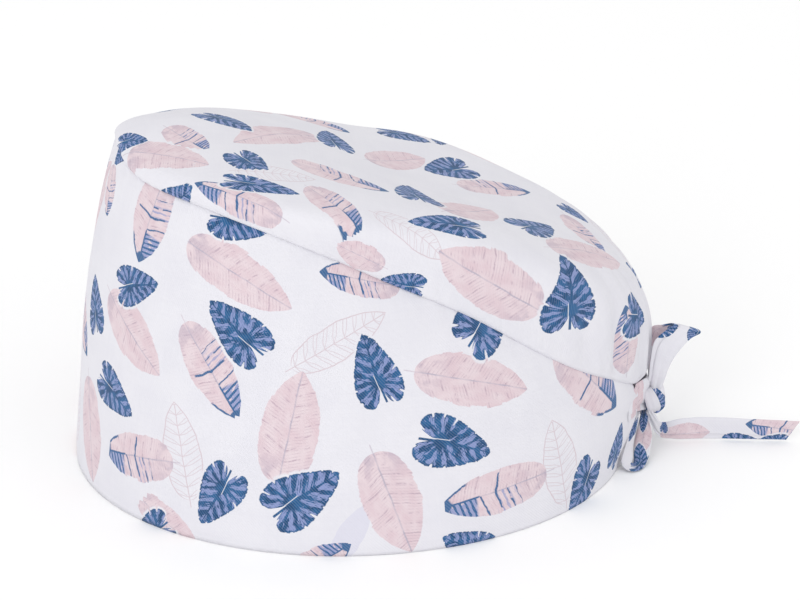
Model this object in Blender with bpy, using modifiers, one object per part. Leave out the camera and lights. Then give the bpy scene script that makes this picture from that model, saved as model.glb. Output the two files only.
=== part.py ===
"""Surgical scrub cap: a tall side band, a puffed crown and two ties in a bow at the back.

Metres, +Z up. The cap stands on its rim on the plane z = 0, with its front at -X, its
back and the bow at +X, and its near side at -Y. Angles run round the cap in degrees:
0 is the middle of the front, 90 the near side, 180 the back and 270 the far side.
"""
import math
from collections import namedtuple

import bmesh
import bpy
from mathutils import Vector

# Cloth and clearances
CLOTH = 0.0010
TIE_CLOTH = 0.0012
GAP = 0.0003

# Rim, which is an oval with a longer back half
FRONT_REACH = 0.1000
BACK_REACH = 0.1035
HALF_WIDTH = 0.0885
HEM_HEIGHT = 0.0040

# Side band
FRONT_HEIGHT = 0.1245
WALL_BULGE = 0.0022
SHOULDER_SHARE = 0.14
SHOULDER_POWER = 8
FAR_SIDE_DROP = 0.0105

# Opening at the back between the two ends of the band
BACK_ANGLE = 174.0
BACK_SLOT = 0.0050

# Crown
CROWN_TOP_OUT = 0.0030
CROWN_TOP_HEIGHT = 0.1115
CROWN_RISE = 0.0650
CROWN_PUFF = 0.0130
CROWN_SLOPE = -0.45
CROWN_ROLL = -0.084
CROWN_REACH = 0.72

# Gathers of the crown above the bow
PLEAT_DEPTH = 0.0022
PLEAT_WIDTH = 5.5
PLEAT_FADE = 0.34
PLEAT_START = 0.06

# Mesh steps, in degrees round the cap and in rows, which crowd towards the seam
WIDE_STEP = 5.0
FINE_STEP = 2.5
FINE_SPAN = 35.0
SHORTEST_STEP_SHARE = 0.3
BAND_ROWS = 7
BAND_CROWDING = 1.25
CROWN_ROWS = 9
CROWN_CROWDING = 1.35

# Ties, each a narrow folded strip sewn to one end of the band just under the seam
TIE_WIDTH = 0.0080
TIE_SEAM_MARGIN = 0.0006
TIE_LAP = 0.0110
TIE_LIFT = 0.0011
TIE_FLOOR_CLEARANCE = 0.0002
TIE_STEP = 0.0025

# Knot of the bow, which hangs a little lower than the ties and clear of the wall
KNOT_DEPTH = 0.0072
KNOT_WIDTH = 0.0085
KNOT_TALL = 0.0112
KNOT_ROUND = 0.0018
KNOT_SAG = 0.0022
KNOT_STANDOFF = 0.0012

# Loops and tails of the bow. A seat is a share of the knot's depth from its middle.
UPPER_LOOP_LENGTH = 0.0300
HANGING_LOOP_LENGTH = 0.0245
HANGING_LOOP_SEAT = -0.12
NEAR_TAIL_LENGTH = 0.0550
NEAR_TAIL_SEAT = -0.25
FAR_TAIL_LENGTH = 0.0480
FAR_TAIL_SEAT = 0.05
FAR_TAIL_STANDOFF = 0.0022
FAR_TAIL_START_STANDOFF = 0.0036
TAIL_SLANT = 0.0052

# The wall and the crown round the cap. height is the seam's share of FRONT_HEIGHT,
# plan the seam's share of the rim's oval, rise and puff shares of the crown's values.
Station = namedtuple("Station", "angle height plan rise puff")
STATIONS = (
    Station(0, 1.000, 0.812, 0.06, 0.05),
    Station(20, 0.955, 0.795, 0.07, 0.15),
    Station(45, 0.925, 0.740, 0.11, 0.22),
    Station(70, 0.855, 0.700, 0.24, 0.26),
    Station(95, 0.742, 0.680, 0.47, 0.30),
    Station(120, 0.605, 0.760, 0.72, 0.42),
    Station(150, 0.352, 0.955, 0.92, 0.64),
    Station(180, 0.197, 1.045, 1.00, 0.95),
)

# Gathers, with their place from the back opening in degrees and a share of PLEAT_DEPTH
Pleat = namedtuple("Pleat", "place depth")
PLEATS = (
    Pleat(-27.0, 0.45),
    Pleat(-17.0, 0.80),
    Pleat(-7.5, 1.00),
    Pleat(2.5, 0.90),
    Pleat(12.0, 1.00),
    Pleat(22.0, 0.55),
)

# Route of the standing loop. Each row is a place along out (+X), near (-Y) and up, as
# shares of the loop's length, and lean, the tilt of its width from upright in degrees.
Stop = namedtuple("Stop", "out near up lean")
UPPER_LOOP = (
    Stop(0.000, 0.060, 0.000, -90),
    Stop(0.020, 0.090, 0.180, -84),
    Stop(0.070, 0.140, 0.380, -76),
    Stop(0.150, 0.125, 0.600, -66),
    Stop(0.250, 0.000, 0.760, -58),
    Stop(0.130, -0.115, 0.660, -66),
    Stop(0.050, -0.130, 0.440, -76),
    Stop(0.010, -0.090, 0.200, -84),
    Stop(0.000, -0.060, 0.000, -90),
)

# Routes of the strips that come down to the ground and stand on their edge. out and near
# are shares of the strip's length, fall the share of the way down from knot to ground.
Fall = namedtuple("Fall", "out near fall")
HANGING_LOOP = (
    Fall(-0.080, 0.000, 0.00),
    Fall(-0.140, 0.130, 0.20),
    Fall(-0.290, 0.360, 0.75),
    Fall(-0.440, 0.600, 1.00),
    Fall(-0.520, 0.800, 1.00),
    Fall(-0.490, 0.910, 1.00),
    Fall(-0.390, 0.920, 1.00),
    Fall(-0.310, 0.740, 1.00),
    Fall(-0.180, 0.430, 0.85),
    Fall(-0.050, 0.150, 0.20),
    Fall(0.020, 0.000, 0.00),
)
NEAR_TAIL = (
    Fall(0.000, -0.040, 0.00),
    Fall(0.070, -0.035, 0.10),
    Fall(0.150, -0.020, 0.80),
    Fall(0.240, 0.000, 1.00),
    Fall(0.450, 0.030, 1.00),
    Fall(0.700, 0.055, 1.00),
    Fall(0.970, 0.085, 1.00),
)
FAR_TAIL_FALL = 0.15


def add_material(name, colour, roughness, metallic=0.0):
    """Return a plain surface material with the given colour, roughness and metallic."""
    material = bpy.data.materials.new(name)
    material.use_nodes = True
    shader = material.node_tree.nodes["Principled BSDF"]
    shader.inputs["Base Color"].default_value = (*colour, 1.0)
    shader.inputs["Roughness"].default_value = roughness
    shader.inputs["Metallic"].default_value = metallic
    material.diffuse_color = (*colour, 1.0)
    return material


def band_material():
    """White woven cotton of the side band."""
    return add_material("band_cotton", (0.83, 0.82, 0.86), 0.85)


def crown_material():
    """White woven cotton of the crown, a little cooler in shade."""
    return add_material("crown_cotton", (0.80, 0.79, 0.84), 0.85)


def tie_material():
    """White woven cotton of the ties."""
    return add_material("tie_cotton", (0.78, 0.77, 0.79), 0.85)


def knot_material():
    """Printed cotton drawn together in the knot."""
    return add_material("knot_cotton", (0.42, 0.48, 0.62), 0.85)


def station_value(column, angle):
    """Return a column of STATIONS at any angle, smooth and the same on both sides."""
    folded = abs((angle + 180.0) % 360.0 - 180.0)
    rows = STATIONS
    spot = 0
    while spot < len(rows) - 2 and folded > rows[spot + 1].angle:
        spot += 1

    def slope(index):
        if index in (0, len(rows) - 1):
            return 0.0
        before = rows[index - 1]
        after = rows[index + 1]
        return (getattr(after, column) - getattr(before, column)) / (after.angle - before.angle)

    start = rows[spot]
    end = rows[spot + 1]
    span = end.angle - start.angle
    share = (folded - start.angle) / span
    square = share * share
    cube = square * share
    value = (2 * cube - 3 * square + 1) * getattr(start, column)
    value += (cube - 2 * square + share) * span * slope(spot)
    value += (3 * square - 2 * cube) * getattr(end, column)
    value += (cube - square) * span * slope(spot + 1)
    return value


def rim_point(angle):
    """Return the rim's point on the ground at an angle."""
    turn = math.radians(angle)
    reach = FRONT_REACH if math.cos(turn) > 0 else BACK_REACH
    return Vector((-reach * math.cos(turn), -HALF_WIDTH * math.sin(turn), 0.0))


def seam_height(angle):
    """Return the height of the seam between band and crown at an angle."""
    height = FRONT_HEIGHT * station_value("height", angle)
    far = max(0.0, -math.sin(math.radians(angle)))
    return height - FAR_SIDE_DROP * far * far


def wall_point(angle, height):
    """Return a point of the band's outer face at an angle and a height over the ground."""
    top = seam_height(angle)
    share = max(0.0, (height - HEM_HEIGHT) / (top - HEM_HEIGHT))
    lean = 1.0 - station_value("plan", angle)
    curve = (1.0 - SHOULDER_SHARE) * share + SHOULDER_SHARE * share ** SHOULDER_POWER
    rim = rim_point(angle)
    point = rim * (1.0 - lean * curve)
    point += rim.normalized() * WALL_BULGE * 4.0 * share * (1.0 - share)
    point.z = height
    return point


def outward(angle):
    """Return the level direction that points away from the cap's middle at an angle."""
    return rim_point(angle).normalized()


def pleat_depth(angle):
    """Return how deep the gathers press in at an angle."""
    depth = 0.0
    for pleat in PLEATS:
        offset = (angle - BACK_ANGLE - pleat.place + 180.0) % 360.0 - 180.0
        depth += pleat.depth * math.exp(-(offset / (0.5 * PLEAT_WIDTH)) ** 2)
    return PLEAT_DEPTH * depth


def crown_point(angle, share):
    """Return a point of the crown's inner face, share 0 at the seam and 1 at the top."""
    foot = wall_point(angle, seam_height(angle))
    foot.z += GAP
    away = outward(angle)
    top = Vector((CROWN_TOP_OUT, 0.0, CROWN_TOP_HEIGHT))
    lift = foot + away * CROWN_PUFF * station_value("puff", angle)
    lift.z += CROWN_RISE * station_value("rise", angle)
    spread = (foot - top) * CROWN_REACH
    shoulder = top + Vector((spread.x, spread.y, spread.x * CROWN_SLOPE + spread.y * CROWN_ROLL))
    rest = 1.0 - share
    point = foot * rest ** 3 + lift * (3 * rest * rest * share)
    point += shoulder * (3 * rest * share * share) + top * share ** 3
    fade = math.exp(-(share / PLEAT_FADE) ** 2) * min(1.0, share / PLEAT_START)
    return point - away * pleat_depth(angle) * fade


def ring_angles(start, end):
    """Return the angles of the mesh columns from start to end, finer near the back."""
    angles = [start]
    while angles[-1] < end - 1e-6:
        offset = abs((angles[-1] + 0.5 * FINE_STEP - BACK_ANGLE + 180.0) % 360.0 - 180.0)
        step = FINE_STEP if offset < FINE_SPAN else WIDE_STEP
        angles.append(min(end, angles[-1] + step))
    if angles[-1] - angles[-2] < SHORTEST_STEP_SHARE * FINE_STEP:
        del angles[-2]
    return angles


def sheet_object(name, columns, rows, place, thickness, offset, material, collection):
    """Make a cloth wall from a grid that place(column, row) bends into its shape."""
    shape = bmesh.new()
    bmesh.ops.create_grid(shape, x_segments=columns, y_segments=rows, size=0.5)
    for vert in shape.verts:
        column = round((vert.co.x + 0.5) * columns)
        row = round((vert.co.y + 0.5) * rows)
        vert.co = place(column, row)
    bmesh.ops.remove_doubles(shape, verts=shape.verts, dist=1e-6)
    bmesh.ops.dissolve_degenerate(shape, edges=shape.edges, dist=1e-7)
    mesh = bpy.data.meshes.new(name)
    shape.to_mesh(mesh)
    shape.free()
    mesh.materials.append(material)
    mesh.shade_smooth()
    item = bpy.data.objects.new(name, mesh)
    collection.objects.link(item)
    wall = item.modifiers.new("cloth", "SOLIDIFY")
    wall.thickness = thickness
    wall.offset = offset
    return item


def add_side_band(collection):
    """The tall wall of the cap, open at the back, leaning in towards the seam."""
    half_slot = math.degrees(0.5 * BACK_SLOT / BACK_REACH)
    angles = ring_angles(BACK_ANGLE - 360.0 + half_slot, BACK_ANGLE - half_slot)

    def place(column, row):
        angle = angles[column]
        if row == 0:
            return wall_point(angle, 0.0)
        share = (row - 1) / (BAND_ROWS - 1)
        share = 1.0 - (1.0 - share) ** BAND_CROWDING
        top = seam_height(angle)
        return wall_point(angle, HEM_HEIGHT + share * (top - HEM_HEIGHT))

    return sheet_object("side_band", len(angles) - 1, BAND_ROWS, place, CLOTH, -1.0,
                        band_material(), collection)


def add_crown(collection):
    """The oval top, which puffs out over the seam and gathers above the bow."""
    angles = ring_angles(BACK_ANGLE - 360.0, BACK_ANGLE)

    def place(column, row):
        angle = angles[column] if column < len(angles) - 1 else angles[0]
        return crown_point(angle, (row / CROWN_ROWS) ** CROWN_CROWDING)

    return sheet_object("crown", len(angles) - 1, CROWN_ROWS, place, CLOTH, 1.0,
                        crown_material(), collection)


def smooth_route(points, step):
    """Return evenly chosen places along a smooth curve through the given points."""
    route = [points[0]]
    last = len(points) - 1
    for index in range(last):
        before = points[max(index - 1, 0)]
        start = points[index]
        end = points[index + 1]
        after = points[min(index + 2, last)]
        count = max(1, round((end[0] - start[0]).length / step))
        for tick in range(1, count + 1):
            share = tick / count
            route.append(tuple(
                0.5 * (2 * start[k] + (end[k] - before[k]) * share
                       + (2 * before[k] - 5 * start[k] + 4 * end[k] - after[k]) * share ** 2
                       + (3 * start[k] - before[k] - 3 * end[k] + after[k]) * share ** 3)
                for k in range(2)))
    return route


def strap_object(name, points, collection, slant=0.0):
    """Make a tie's strip along points, each a place and the direction its width leans to."""
    route = smooth_route(points, TIE_STEP)
    last = len(route) - 1

    def place(column, row):
        centre, width = route[column]
        along = (route[min(column + 1, last)][0] - route[max(column - 1, 0)][0]).normalized()
        width = (width - along * width.dot(along)).normalized()
        side = row - 0.5
        spot = centre + width * side * TIE_WIDTH
        if column == last:
            spot += along * side * slant
        spot.z = max(spot.z, TIE_FLOOR_CLEARANCE)
        return spot

    return sheet_object(name, last, 1, place, TIE_CLOTH, 0.0, tie_material(), collection)


def knot_half_turn():
    """Return half the knot's width as an angle round the cap."""
    return math.degrees((0.5 * KNOT_WIDTH + GAP) / HALF_WIDTH)


def tie_height():
    """Return the height of the ties' middle line, just under the seam beside the knot."""
    seam = min(seam_height(BACK_ANGLE + side * knot_half_turn()) for side in (-1, 1))
    return seam - TIE_SEAM_MARGIN - 0.5 * TIE_WIDTH


def knot_centre():
    """Return the middle of the knot, which hangs just behind the back of the band."""
    height = tie_height() - KNOT_SAG
    reach = [wall_point(BACK_ANGLE + turn, height + rise).x
             for turn in (-knot_half_turn(), 0.0, knot_half_turn())
             for rise in (-0.5 * KNOT_TALL, 0.0, 0.5 * KNOT_TALL)]
    centre = wall_point(BACK_ANGLE, height)
    centre.x = max(reach) + KNOT_STANDOFF + 0.5 * KNOT_DEPTH
    return centre


def crown_reach():
    """Return how far out the crown's outer face comes behind the upper loop."""
    return CLOTH + max(crown_point(BACK_ANGLE + turn, row / CROWN_ROWS).x
                       for turn in (-knot_half_turn(), 0.0, knot_half_turn())
                       for row in range(CROWN_ROWS + 1))


def floor_height():
    """Return the height of a strip's middle where it stands on its edge on the ground."""
    return 0.5 * TIE_WIDTH + TIE_FLOOR_CLEARANCE


def strand_height():
    """Return the middle height of a strip that leaves the knot under the ties."""
    return tie_height() - TIE_WIDTH - GAP


def falling_points(stops, origin, length):
    """Turn a route that comes down from an origin to the ground into its points."""
    points = []
    for stop in stops:
        place = origin + Vector((stop.out, -stop.near, 0.0)) * length
        place.z += (floor_height() - origin.z) * stop.fall
        points.append((place, Vector((0.0, 0.0, 1.0))))
    return points


def add_knot(collection):
    """The small tight knot in the middle of the bow."""
    shape = bmesh.new()
    bmesh.ops.create_cube(shape, size=1.0)
    bmesh.ops.scale(shape, verts=shape.verts, vec=(KNOT_DEPTH, KNOT_WIDTH, KNOT_TALL))
    bmesh.ops.translate(shape, verts=shape.verts, vec=knot_centre())
    mesh = bpy.data.meshes.new("tie_knot")
    shape.to_mesh(mesh)
    shape.free()
    mesh.materials.append(knot_material())
    mesh.shade_smooth()
    item = bpy.data.objects.new("tie_knot", mesh)
    collection.objects.link(item)
    rounding = item.modifiers.new("rounding", "BEVEL")
    rounding.width = KNOT_ROUND
    rounding.segments = 3
    return item


def add_tie_root(name, side, collection):
    """The start of a tie, sewn on the band and led to the knot: side 1 near, -1 far."""
    upright = Vector((0.0, 0.0, 1.0))
    offset = GAP + 0.5 * TIE_CLOTH
    centre = knot_centre()
    height = tie_height()
    lap = math.degrees(TIE_LAP / HALF_WIDTH)
    points = []
    for share in (1.0, 0.75, 0.5):
        angle = BACK_ANGLE - side * (knot_half_turn() + lap * share)
        points.append((wall_point(angle, height) + outward(angle) * offset, upright))
    face = centre.y - side * (0.5 * KNOT_WIDTH + GAP)
    depth = centre.x - 0.5 * KNOT_DEPTH + offset + TIE_LIFT
    points.append((Vector((depth, face - side * TIE_CLOTH, height)), upright))
    points.append((Vector((depth, face, height)), upright))
    return strap_object(name, points, collection)


def add_upper_loop(collection):
    """The loop that stands up from the knot behind the crown."""
    origin = knot_centre()
    origin.x = crown_reach() + GAP + 0.5 * TIE_WIDTH
    origin.z += 0.5 * KNOT_TALL + GAP
    points = []
    for stop in UPPER_LOOP:
        place = origin + Vector((stop.out, -stop.near, stop.up)) * UPPER_LOOP_LENGTH
        lean = math.radians(stop.lean)
        points.append((place, Vector((math.sin(lean), 0.0, math.cos(lean)))))
    return strap_object("upper_loop", points, collection)


def add_hanging_loop(collection):
    """The loop that hangs from the knot and stands on its edge on the near side."""
    origin = knot_centre()
    origin.x += HANGING_LOOP_SEAT * KNOT_DEPTH
    origin.y -= 0.5 * KNOT_WIDTH + GAP
    origin.z = strand_height()
    points = falling_points(HANGING_LOOP, origin, HANGING_LOOP_LENGTH)
    return strap_object("hanging_loop", points, collection)


def add_near_tail(collection):
    """The free end that comes from under the knot and sticks out behind the cap."""
    origin = knot_centre()
    origin.x += NEAR_TAIL_SEAT * KNOT_DEPTH
    origin.z -= 0.5 * KNOT_TALL + GAP + 0.5 * TIE_WIDTH
    points = falling_points(NEAR_TAIL, origin, NEAR_TAIL_LENGTH)
    return strap_object("near_tail", points, collection, slant=TAIL_SLANT)


def add_far_tail(collection):
    """The free end on the hidden side, which follows the rim a little way."""
    upright = Vector((0.0, 0.0, 1.0))
    centre = knot_centre()
    face = centre.y + 0.5 * KNOT_WIDTH + GAP
    depth = centre.x + FAR_TAIL_SEAT * KNOT_DEPTH
    start = strand_height()
    middle = start + (floor_height() - start) * FAR_TAIL_FALL
    points = [(Vector((depth, face, start)), upright),
              (Vector((depth, face + 2 * TIE_CLOTH, middle)), upright)]
    first = math.degrees((face + TIE_WIDTH) / HALF_WIDTH)
    sweep = math.degrees(FAR_TAIL_LENGTH / BACK_REACH)
    for share in (0.0, 0.2, 0.4, 0.6, 0.8):
        angle = 180.0 + first + sweep * share
        standoff = FAR_TAIL_START_STANDOFF if share == 0.0 else FAR_TAIL_STANDOFF
        place = wall_point(angle, TIE_WIDTH) + outward(angle) * standoff
        place.z = floor_height()
        points.append((place, upright))
    return strap_object("far_tail", points, collection)


def main():
    """Clear the file and build every piece of the cap."""
    for item in list(bpy.data.objects):
        bpy.data.objects.remove(item, do_unlink=True)
    collection = bpy.data.collections.new("scrub_cap")
    bpy.context.scene.collection.children.link(collection)
    add_side_band(collection)
    add_crown(collection)
    add_knot(collection)
    add_tie_root("near_tie_root", 1, collection)
    add_tie_root("far_tie_root", -1, collection)
    add_upper_loop(collection)
    add_hanging_loop(collection)
    add_near_tail(collection)
    add_far_tail(collection)


main()
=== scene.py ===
"""Dresses the surgical scrub cap: printed cotton band and crown, and the bow of its ties.

Metres, +Z up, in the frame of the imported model. The cap stands on its rim with its front
at -X, its bow at +X and its near side at -Y. Angles run round the cap in degrees: 0 is
the middle of the front, 90 the near side, 180 the back and 270 the far side.
"""

import logging
import math
from dataclasses import dataclass
from enum import Enum
from functools import partial
from typing import Callable, NamedTuple, Sequence, Union

import bmesh
import bpy
import numpy as np
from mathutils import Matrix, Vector, noise


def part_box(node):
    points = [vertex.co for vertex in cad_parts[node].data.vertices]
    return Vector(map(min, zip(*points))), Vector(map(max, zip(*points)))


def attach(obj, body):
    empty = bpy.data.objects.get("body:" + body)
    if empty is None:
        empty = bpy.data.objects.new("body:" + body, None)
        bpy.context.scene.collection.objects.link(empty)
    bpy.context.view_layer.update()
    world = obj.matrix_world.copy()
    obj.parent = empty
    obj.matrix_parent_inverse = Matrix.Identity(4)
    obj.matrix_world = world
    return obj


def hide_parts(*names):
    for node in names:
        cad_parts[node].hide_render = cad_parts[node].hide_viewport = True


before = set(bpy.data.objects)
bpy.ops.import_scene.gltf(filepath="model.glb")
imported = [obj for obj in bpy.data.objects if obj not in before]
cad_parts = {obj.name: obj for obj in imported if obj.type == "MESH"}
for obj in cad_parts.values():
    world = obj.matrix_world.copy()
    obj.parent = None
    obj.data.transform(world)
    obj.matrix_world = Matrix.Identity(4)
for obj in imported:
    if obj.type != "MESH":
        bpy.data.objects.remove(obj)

LOG = logging.getLogger("scrub_cap")
BODY = "root"
UP = Vector((0.0, 0.0, 1.0))
LEVEL = Vector((1.0, 0.0, 0.0))
ASIDE = Vector((0.0, 1.0, 0.0))
MM_PER_M = 1000.0
TWO_PI = 2.0 * math.pi
HALF_TURN = 180.0
FULL_TURN = 360.0
SCREEN_FULL = 255.0
SCREEN_KNEE = 0.04045
SCREEN_SLOPE = 12.92
SCREEN_LIFT = 0.055
SCREEN_POWER = 2.4
SEED_STEP = 0.381966
SEED_TOP = 0.9
SEED_SPREAD = 40.0
OUT_OF_LEAF = 9.0
NOISE_SHIFT = 4.4
SHOW_THROUGH = 0.22

Colour = tuple[float, float, float, float]
Point = tuple[float, float, float]
Step = tuple[float, float]
Zone = tuple[float, float, float]
Place = Callable[[int, int], Vector]
Flat = Callable[[int, int], tuple[float, float]]


def ink(red: int, green: int, blue: int) -> Colour:
    """Return a linear, opaque colour from its screen values.

    Args:
        red: red, from 0 to 255.
        green: green, from 0 to 255.
        blue: blue, from 0 to 255.

    Returns:
        The same colour in linear light.
    """
    def linear(value: int) -> float:
        """Turn one part of the colour to linear light.

        Args:
            value: the part, from 0 to 255.

        Returns:
            The part in linear light.
        """
        share = value / SCREEN_FULL
        if share <= SCREEN_KNEE:
            return share / SCREEN_SLOPE
        return ((share + SCREEN_LIFT) / (1.0 + SCREEN_LIFT)) ** SCREEN_POWER

    return linear(red), linear(green), linear(blue), 1.0


def add_object(name: str, data: bpy.types.ID) -> bpy.types.Object:
    """Put an object with this mesh, light or camera into the scene.

    Args:
        name: the object's name.
        data: what it shows.

    Returns:
        The object.
    """
    made = bpy.data.objects.new(name, data)
    bpy.context.scene.collection.objects.link(made)
    return made


def take_mesh(shape: bmesh.types.BMesh, name: str) -> bpy.types.Mesh:
    """Turn a finished shape into a mesh and free it.

    Args:
        shape: the shape.
        name: the mesh's name.

    Returns:
        The mesh.
    """
    mesh = bpy.data.meshes.new(name)
    shape.to_mesh(mesh)
    shape.free()
    return mesh


def signed_turn(angle: float) -> float:
    """Return an angle in degrees brought to between -180 and 180."""
    return (angle + HALF_TURN) % FULL_TURN - HALF_TURN


def bell(value: float, half: float) -> float:
    """Return 1 at 0, and less the farther a value is from it, by a bell curve."""
    return math.exp(-(value / half) ** 2)


def fade_in(value: float, reach: float) -> float:
    """Return a value's share of a reach, 1 at most."""
    return min(1.0, value / reach)


def soft_wave(point: Vector, scale: float, fine_scale: float, fine_share: float,
              shift: Vector) -> float:
    """Return the height of soft waves of two sizes, about -1 to 1.

    Args:
        point: the place on the cloth.
        scale: how closely the broad waves follow each other.
        fine_scale: how closely the fine ones do.
        fine_share: the fine waves' height over the broad ones'.
        shift: which part of the noise is used.

    Returns:
        The height.
    """
    wave = noise.noise(point * scale + shift)
    return wave + fine_share * noise.noise(point * fine_scale)


def puckers(angle: float, pace: float, fine_pace: float, seed: float) -> float:
    """Return the height of uneven puckers along the seam, about -1 to 1.

    Args:
        angle: degrees round the cap.
        pace: how fast the broad puckers change with the angle.
        fine_pace: how fast the fine ones do.
        seed: which part of the noise is used.

    Returns:
        The height.
    """
    broad = noise.noise(Vector((angle * pace, seed, 0.0)))
    return broad + 0.5 * noise.noise(Vector((angle * fine_pace, seed + NOISE_SHIFT, 0.0)))


class Leaf(Enum):
    """Kinds of leaf in the print. Each value is the whole part of the stored code."""

    HEART = 0
    PLAIN = 1
    STROKED = 2
    OUTLINE = 3
    GHOST = 4


class Layer(Enum):
    """Layers of the print, each a vector stored at the face corners."""

    HEARTS = "print_hearts"
    LONGS = "print_longs"
    LINES = "print_lines"


LAYER_OF = {
    Leaf.HEART: Layer.HEARTS,
    Leaf.PLAIN: Layer.LONGS,
    Leaf.STROKED: Layer.LONGS,
    Leaf.OUTLINE: Layer.LINES,
    Leaf.GHOST: Layer.LINES,
}


class Station(NamedTuple):
    """One place round the cap: the seam's height and plan, the crown's rise and puff."""

    angle: float
    height: float
    plan: float
    rise: float
    puff: float


class Spot(NamedTuple):
    """A leaf on the cap: its angle round the cap, its height in mm or share, its turn
    from level in degrees, its size in mm from the stalk's joint or middle to the tip,
    and how plump it is.
    """

    leaf: Leaf
    angle: float
    up: float
    turn: float
    size: float
    plump: float = 1.0


H, P, S, O, G = Leaf.HEART, Leaf.PLAIN, Leaf.STROKED, Leaf.OUTLINE, Leaf.GHOST

BAND_PRINT = (
    Spot(H, 27, 82, 22, 15),
    Spot(H, 13.5, 64, 116, 14.5),
    Spot(H, 24, 43, -21, 16),
    Spot(H, 62, 74, 141, 18),
    Spot(H, 59.5, 21.5, -118, 17),
    Spot(H, 74.5, 19, 36, 20),
    Spot(H, 93, 60, 105, 17.5),
    Spot(H, 120.5, 72, 30, 18.5, 1.1),
    Spot(H, 106, 38, -22, 19.5),
    Spot(H, 142, 9, -128, 16),
    Spot(H, 155, 9.5, 62, 12),
    Spot(H, 112, -3, 150, 15),
    Spot(H, 44, -1, -140, 15),
    Spot(H, 52, 112.5, 0, 15),
    Spot(H, 9.5, 124, -118, 8.5),
    Spot(P, 30.5, 66, -33, 18.5, 1.1),
    Spot(P, 16, 21, -74, 19.5, 1.1),
    Spot(P, 58, 95, -22, 21, 0.95),
    Spot(P, 73.5, 45, 79, 21, 1.1),
    Spot(P, 46.5, 3, -24, 15),
    Spot(P, 115.3, 56.3, -21, 22.5, 0.93),
    Spot(P, 95, 18.5, -71, 19.5, 1.2),
    Spot(S, 54.5, 61.5, -52, 19, 1.1),
    Spot(S, 29.5, 108, -97, 17.5, 1.2),
    Spot(S, 36, 23, -168, 18, 1.25),
    Spot(S, 79, -4, 34, 16),
    Spot(S, 89.5, 93, 170, 14, 1.15),
    Spot(S, 147.5, 44, -52, 21, 1.35),
    Spot(S, 117, 17, -177, 22, 0.92),
    Spot(S, 8.5, 108, -78, 9.5, 1.2),
    Spot(O, 84, 74.5, 30, 19, 0.92),
    Spot(O, 49, 31, 105, 17.5, 1.25),
    Spot(O, 134, 20, 97, 16.5, 1.3),
    Spot(G, 86.5, 8, 60, 13),
)

FRONT_PRINT = (
    Spot(P, 358, 101, 64, 18.5),
    Spot(S, 0.5, 56, -36, 17.5),
    Spot(H, 352, 30, 118, 16),
    Spot(O, 1.5, 22, 96, 15.5),
    Spot(H, 350.5, 118, -28, 13),
    Spot(P, 356, -2, 160, 15),
)

CROWN_PRINT = (
    Spot(H, 353, 0.66, 65, 15.5),
    Spot(H, 41, 0.59, -22, 14),
    Spot(H, 290.5, 0.89, -97, 15),
    Spot(H, 53, 0.40, 12, 18.5, 0.52),
    Spot(H, 8.5, 0.18, 55, 8.5),
    Spot(H, 34, -0.008, 42, 12),
    Spot(H, 216, 0.71, 62, 16.5),
    Spot(H, 122, 0.73, 84, 18.5),
    Spot(H, 119.5, 0.41, -172, 19.5, 0.62),
    Spot(H, 156, 0.62, 8, 18),
    Spot(H, 141, 0.145, 112, 17, 1.38),
    Spot(H, 162.5, 0.17, -8, 13, 1.3),
    Spot(H, 178, 0.30, -150, 8),
    Spot(H, 248, 0.55, 178, 14),
    Spot(H, 194, 0.50, -155, 9),
    Spot(H, 103.5, 0.02, -172, 10.5),
    Spot(P, 2, 0.83, -50, 23, 0.8),
    Spot(P, 24, 0.37, 24, 16),
    Spot(P, 228, 0.85, -128, 16),
    Spot(P, 141.5, 0.71, 30, 20, 1.15),
    Spot(P, 159.5, 0.45, -10, 22, 0.85),
    Spot(P, 123, 0.13, 172, 23, 1),
    Spot(P, 89.5, 0.075, 172, 9.5, 1.2),
    Spot(S, 54.5, 0.25, 176, 17, 0.62),
    Spot(S, 17.5, 0.52, 14, 11, 1.5),
    Spot(S, 282, 0.60, 146, 15),
    Spot(S, 79, 0.74, -10, 18),
    Spot(S, 81.5, 0.39, -44, 13.5, 1.2),
    Spot(S, 199, 0.70, -109, 16),
    Spot(S, 177, 0.52, -150, 15),
    Spot(S, 159.5, 0.10, 122, 14, 1.3),
    Spot(O, 56, 0.57, 24, 14),
    Spot(O, 103.5, 0.28, -24, 14, 0.8),
    Spot(O, 238, 0.40, 20, 14),
    Spot(P, 225, 0.30, 24, 17),
    Spot(H, 240, 0.22, 80, 15),
    Spot(S, 262, 0.25, -20, 17),
    Spot(H, 285, 0.20, 150, 15),
    Spot(P, 305, 0.30, -60, 17),
    Spot(S, 325, 0.22, 40, 16),
    Spot(H, 340, 0.30, -40, 14),
    Spot(H, 214, 0.14, -60, 14),
    Spot(P, 187, 0.14, 66, 15),
    Spot(S, 201, 0.26, -24, 15),
    Spot(H, 202, 0.07, 150, 13),
    Spot(O, 188, 0.38, 14, 13),
)


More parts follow.
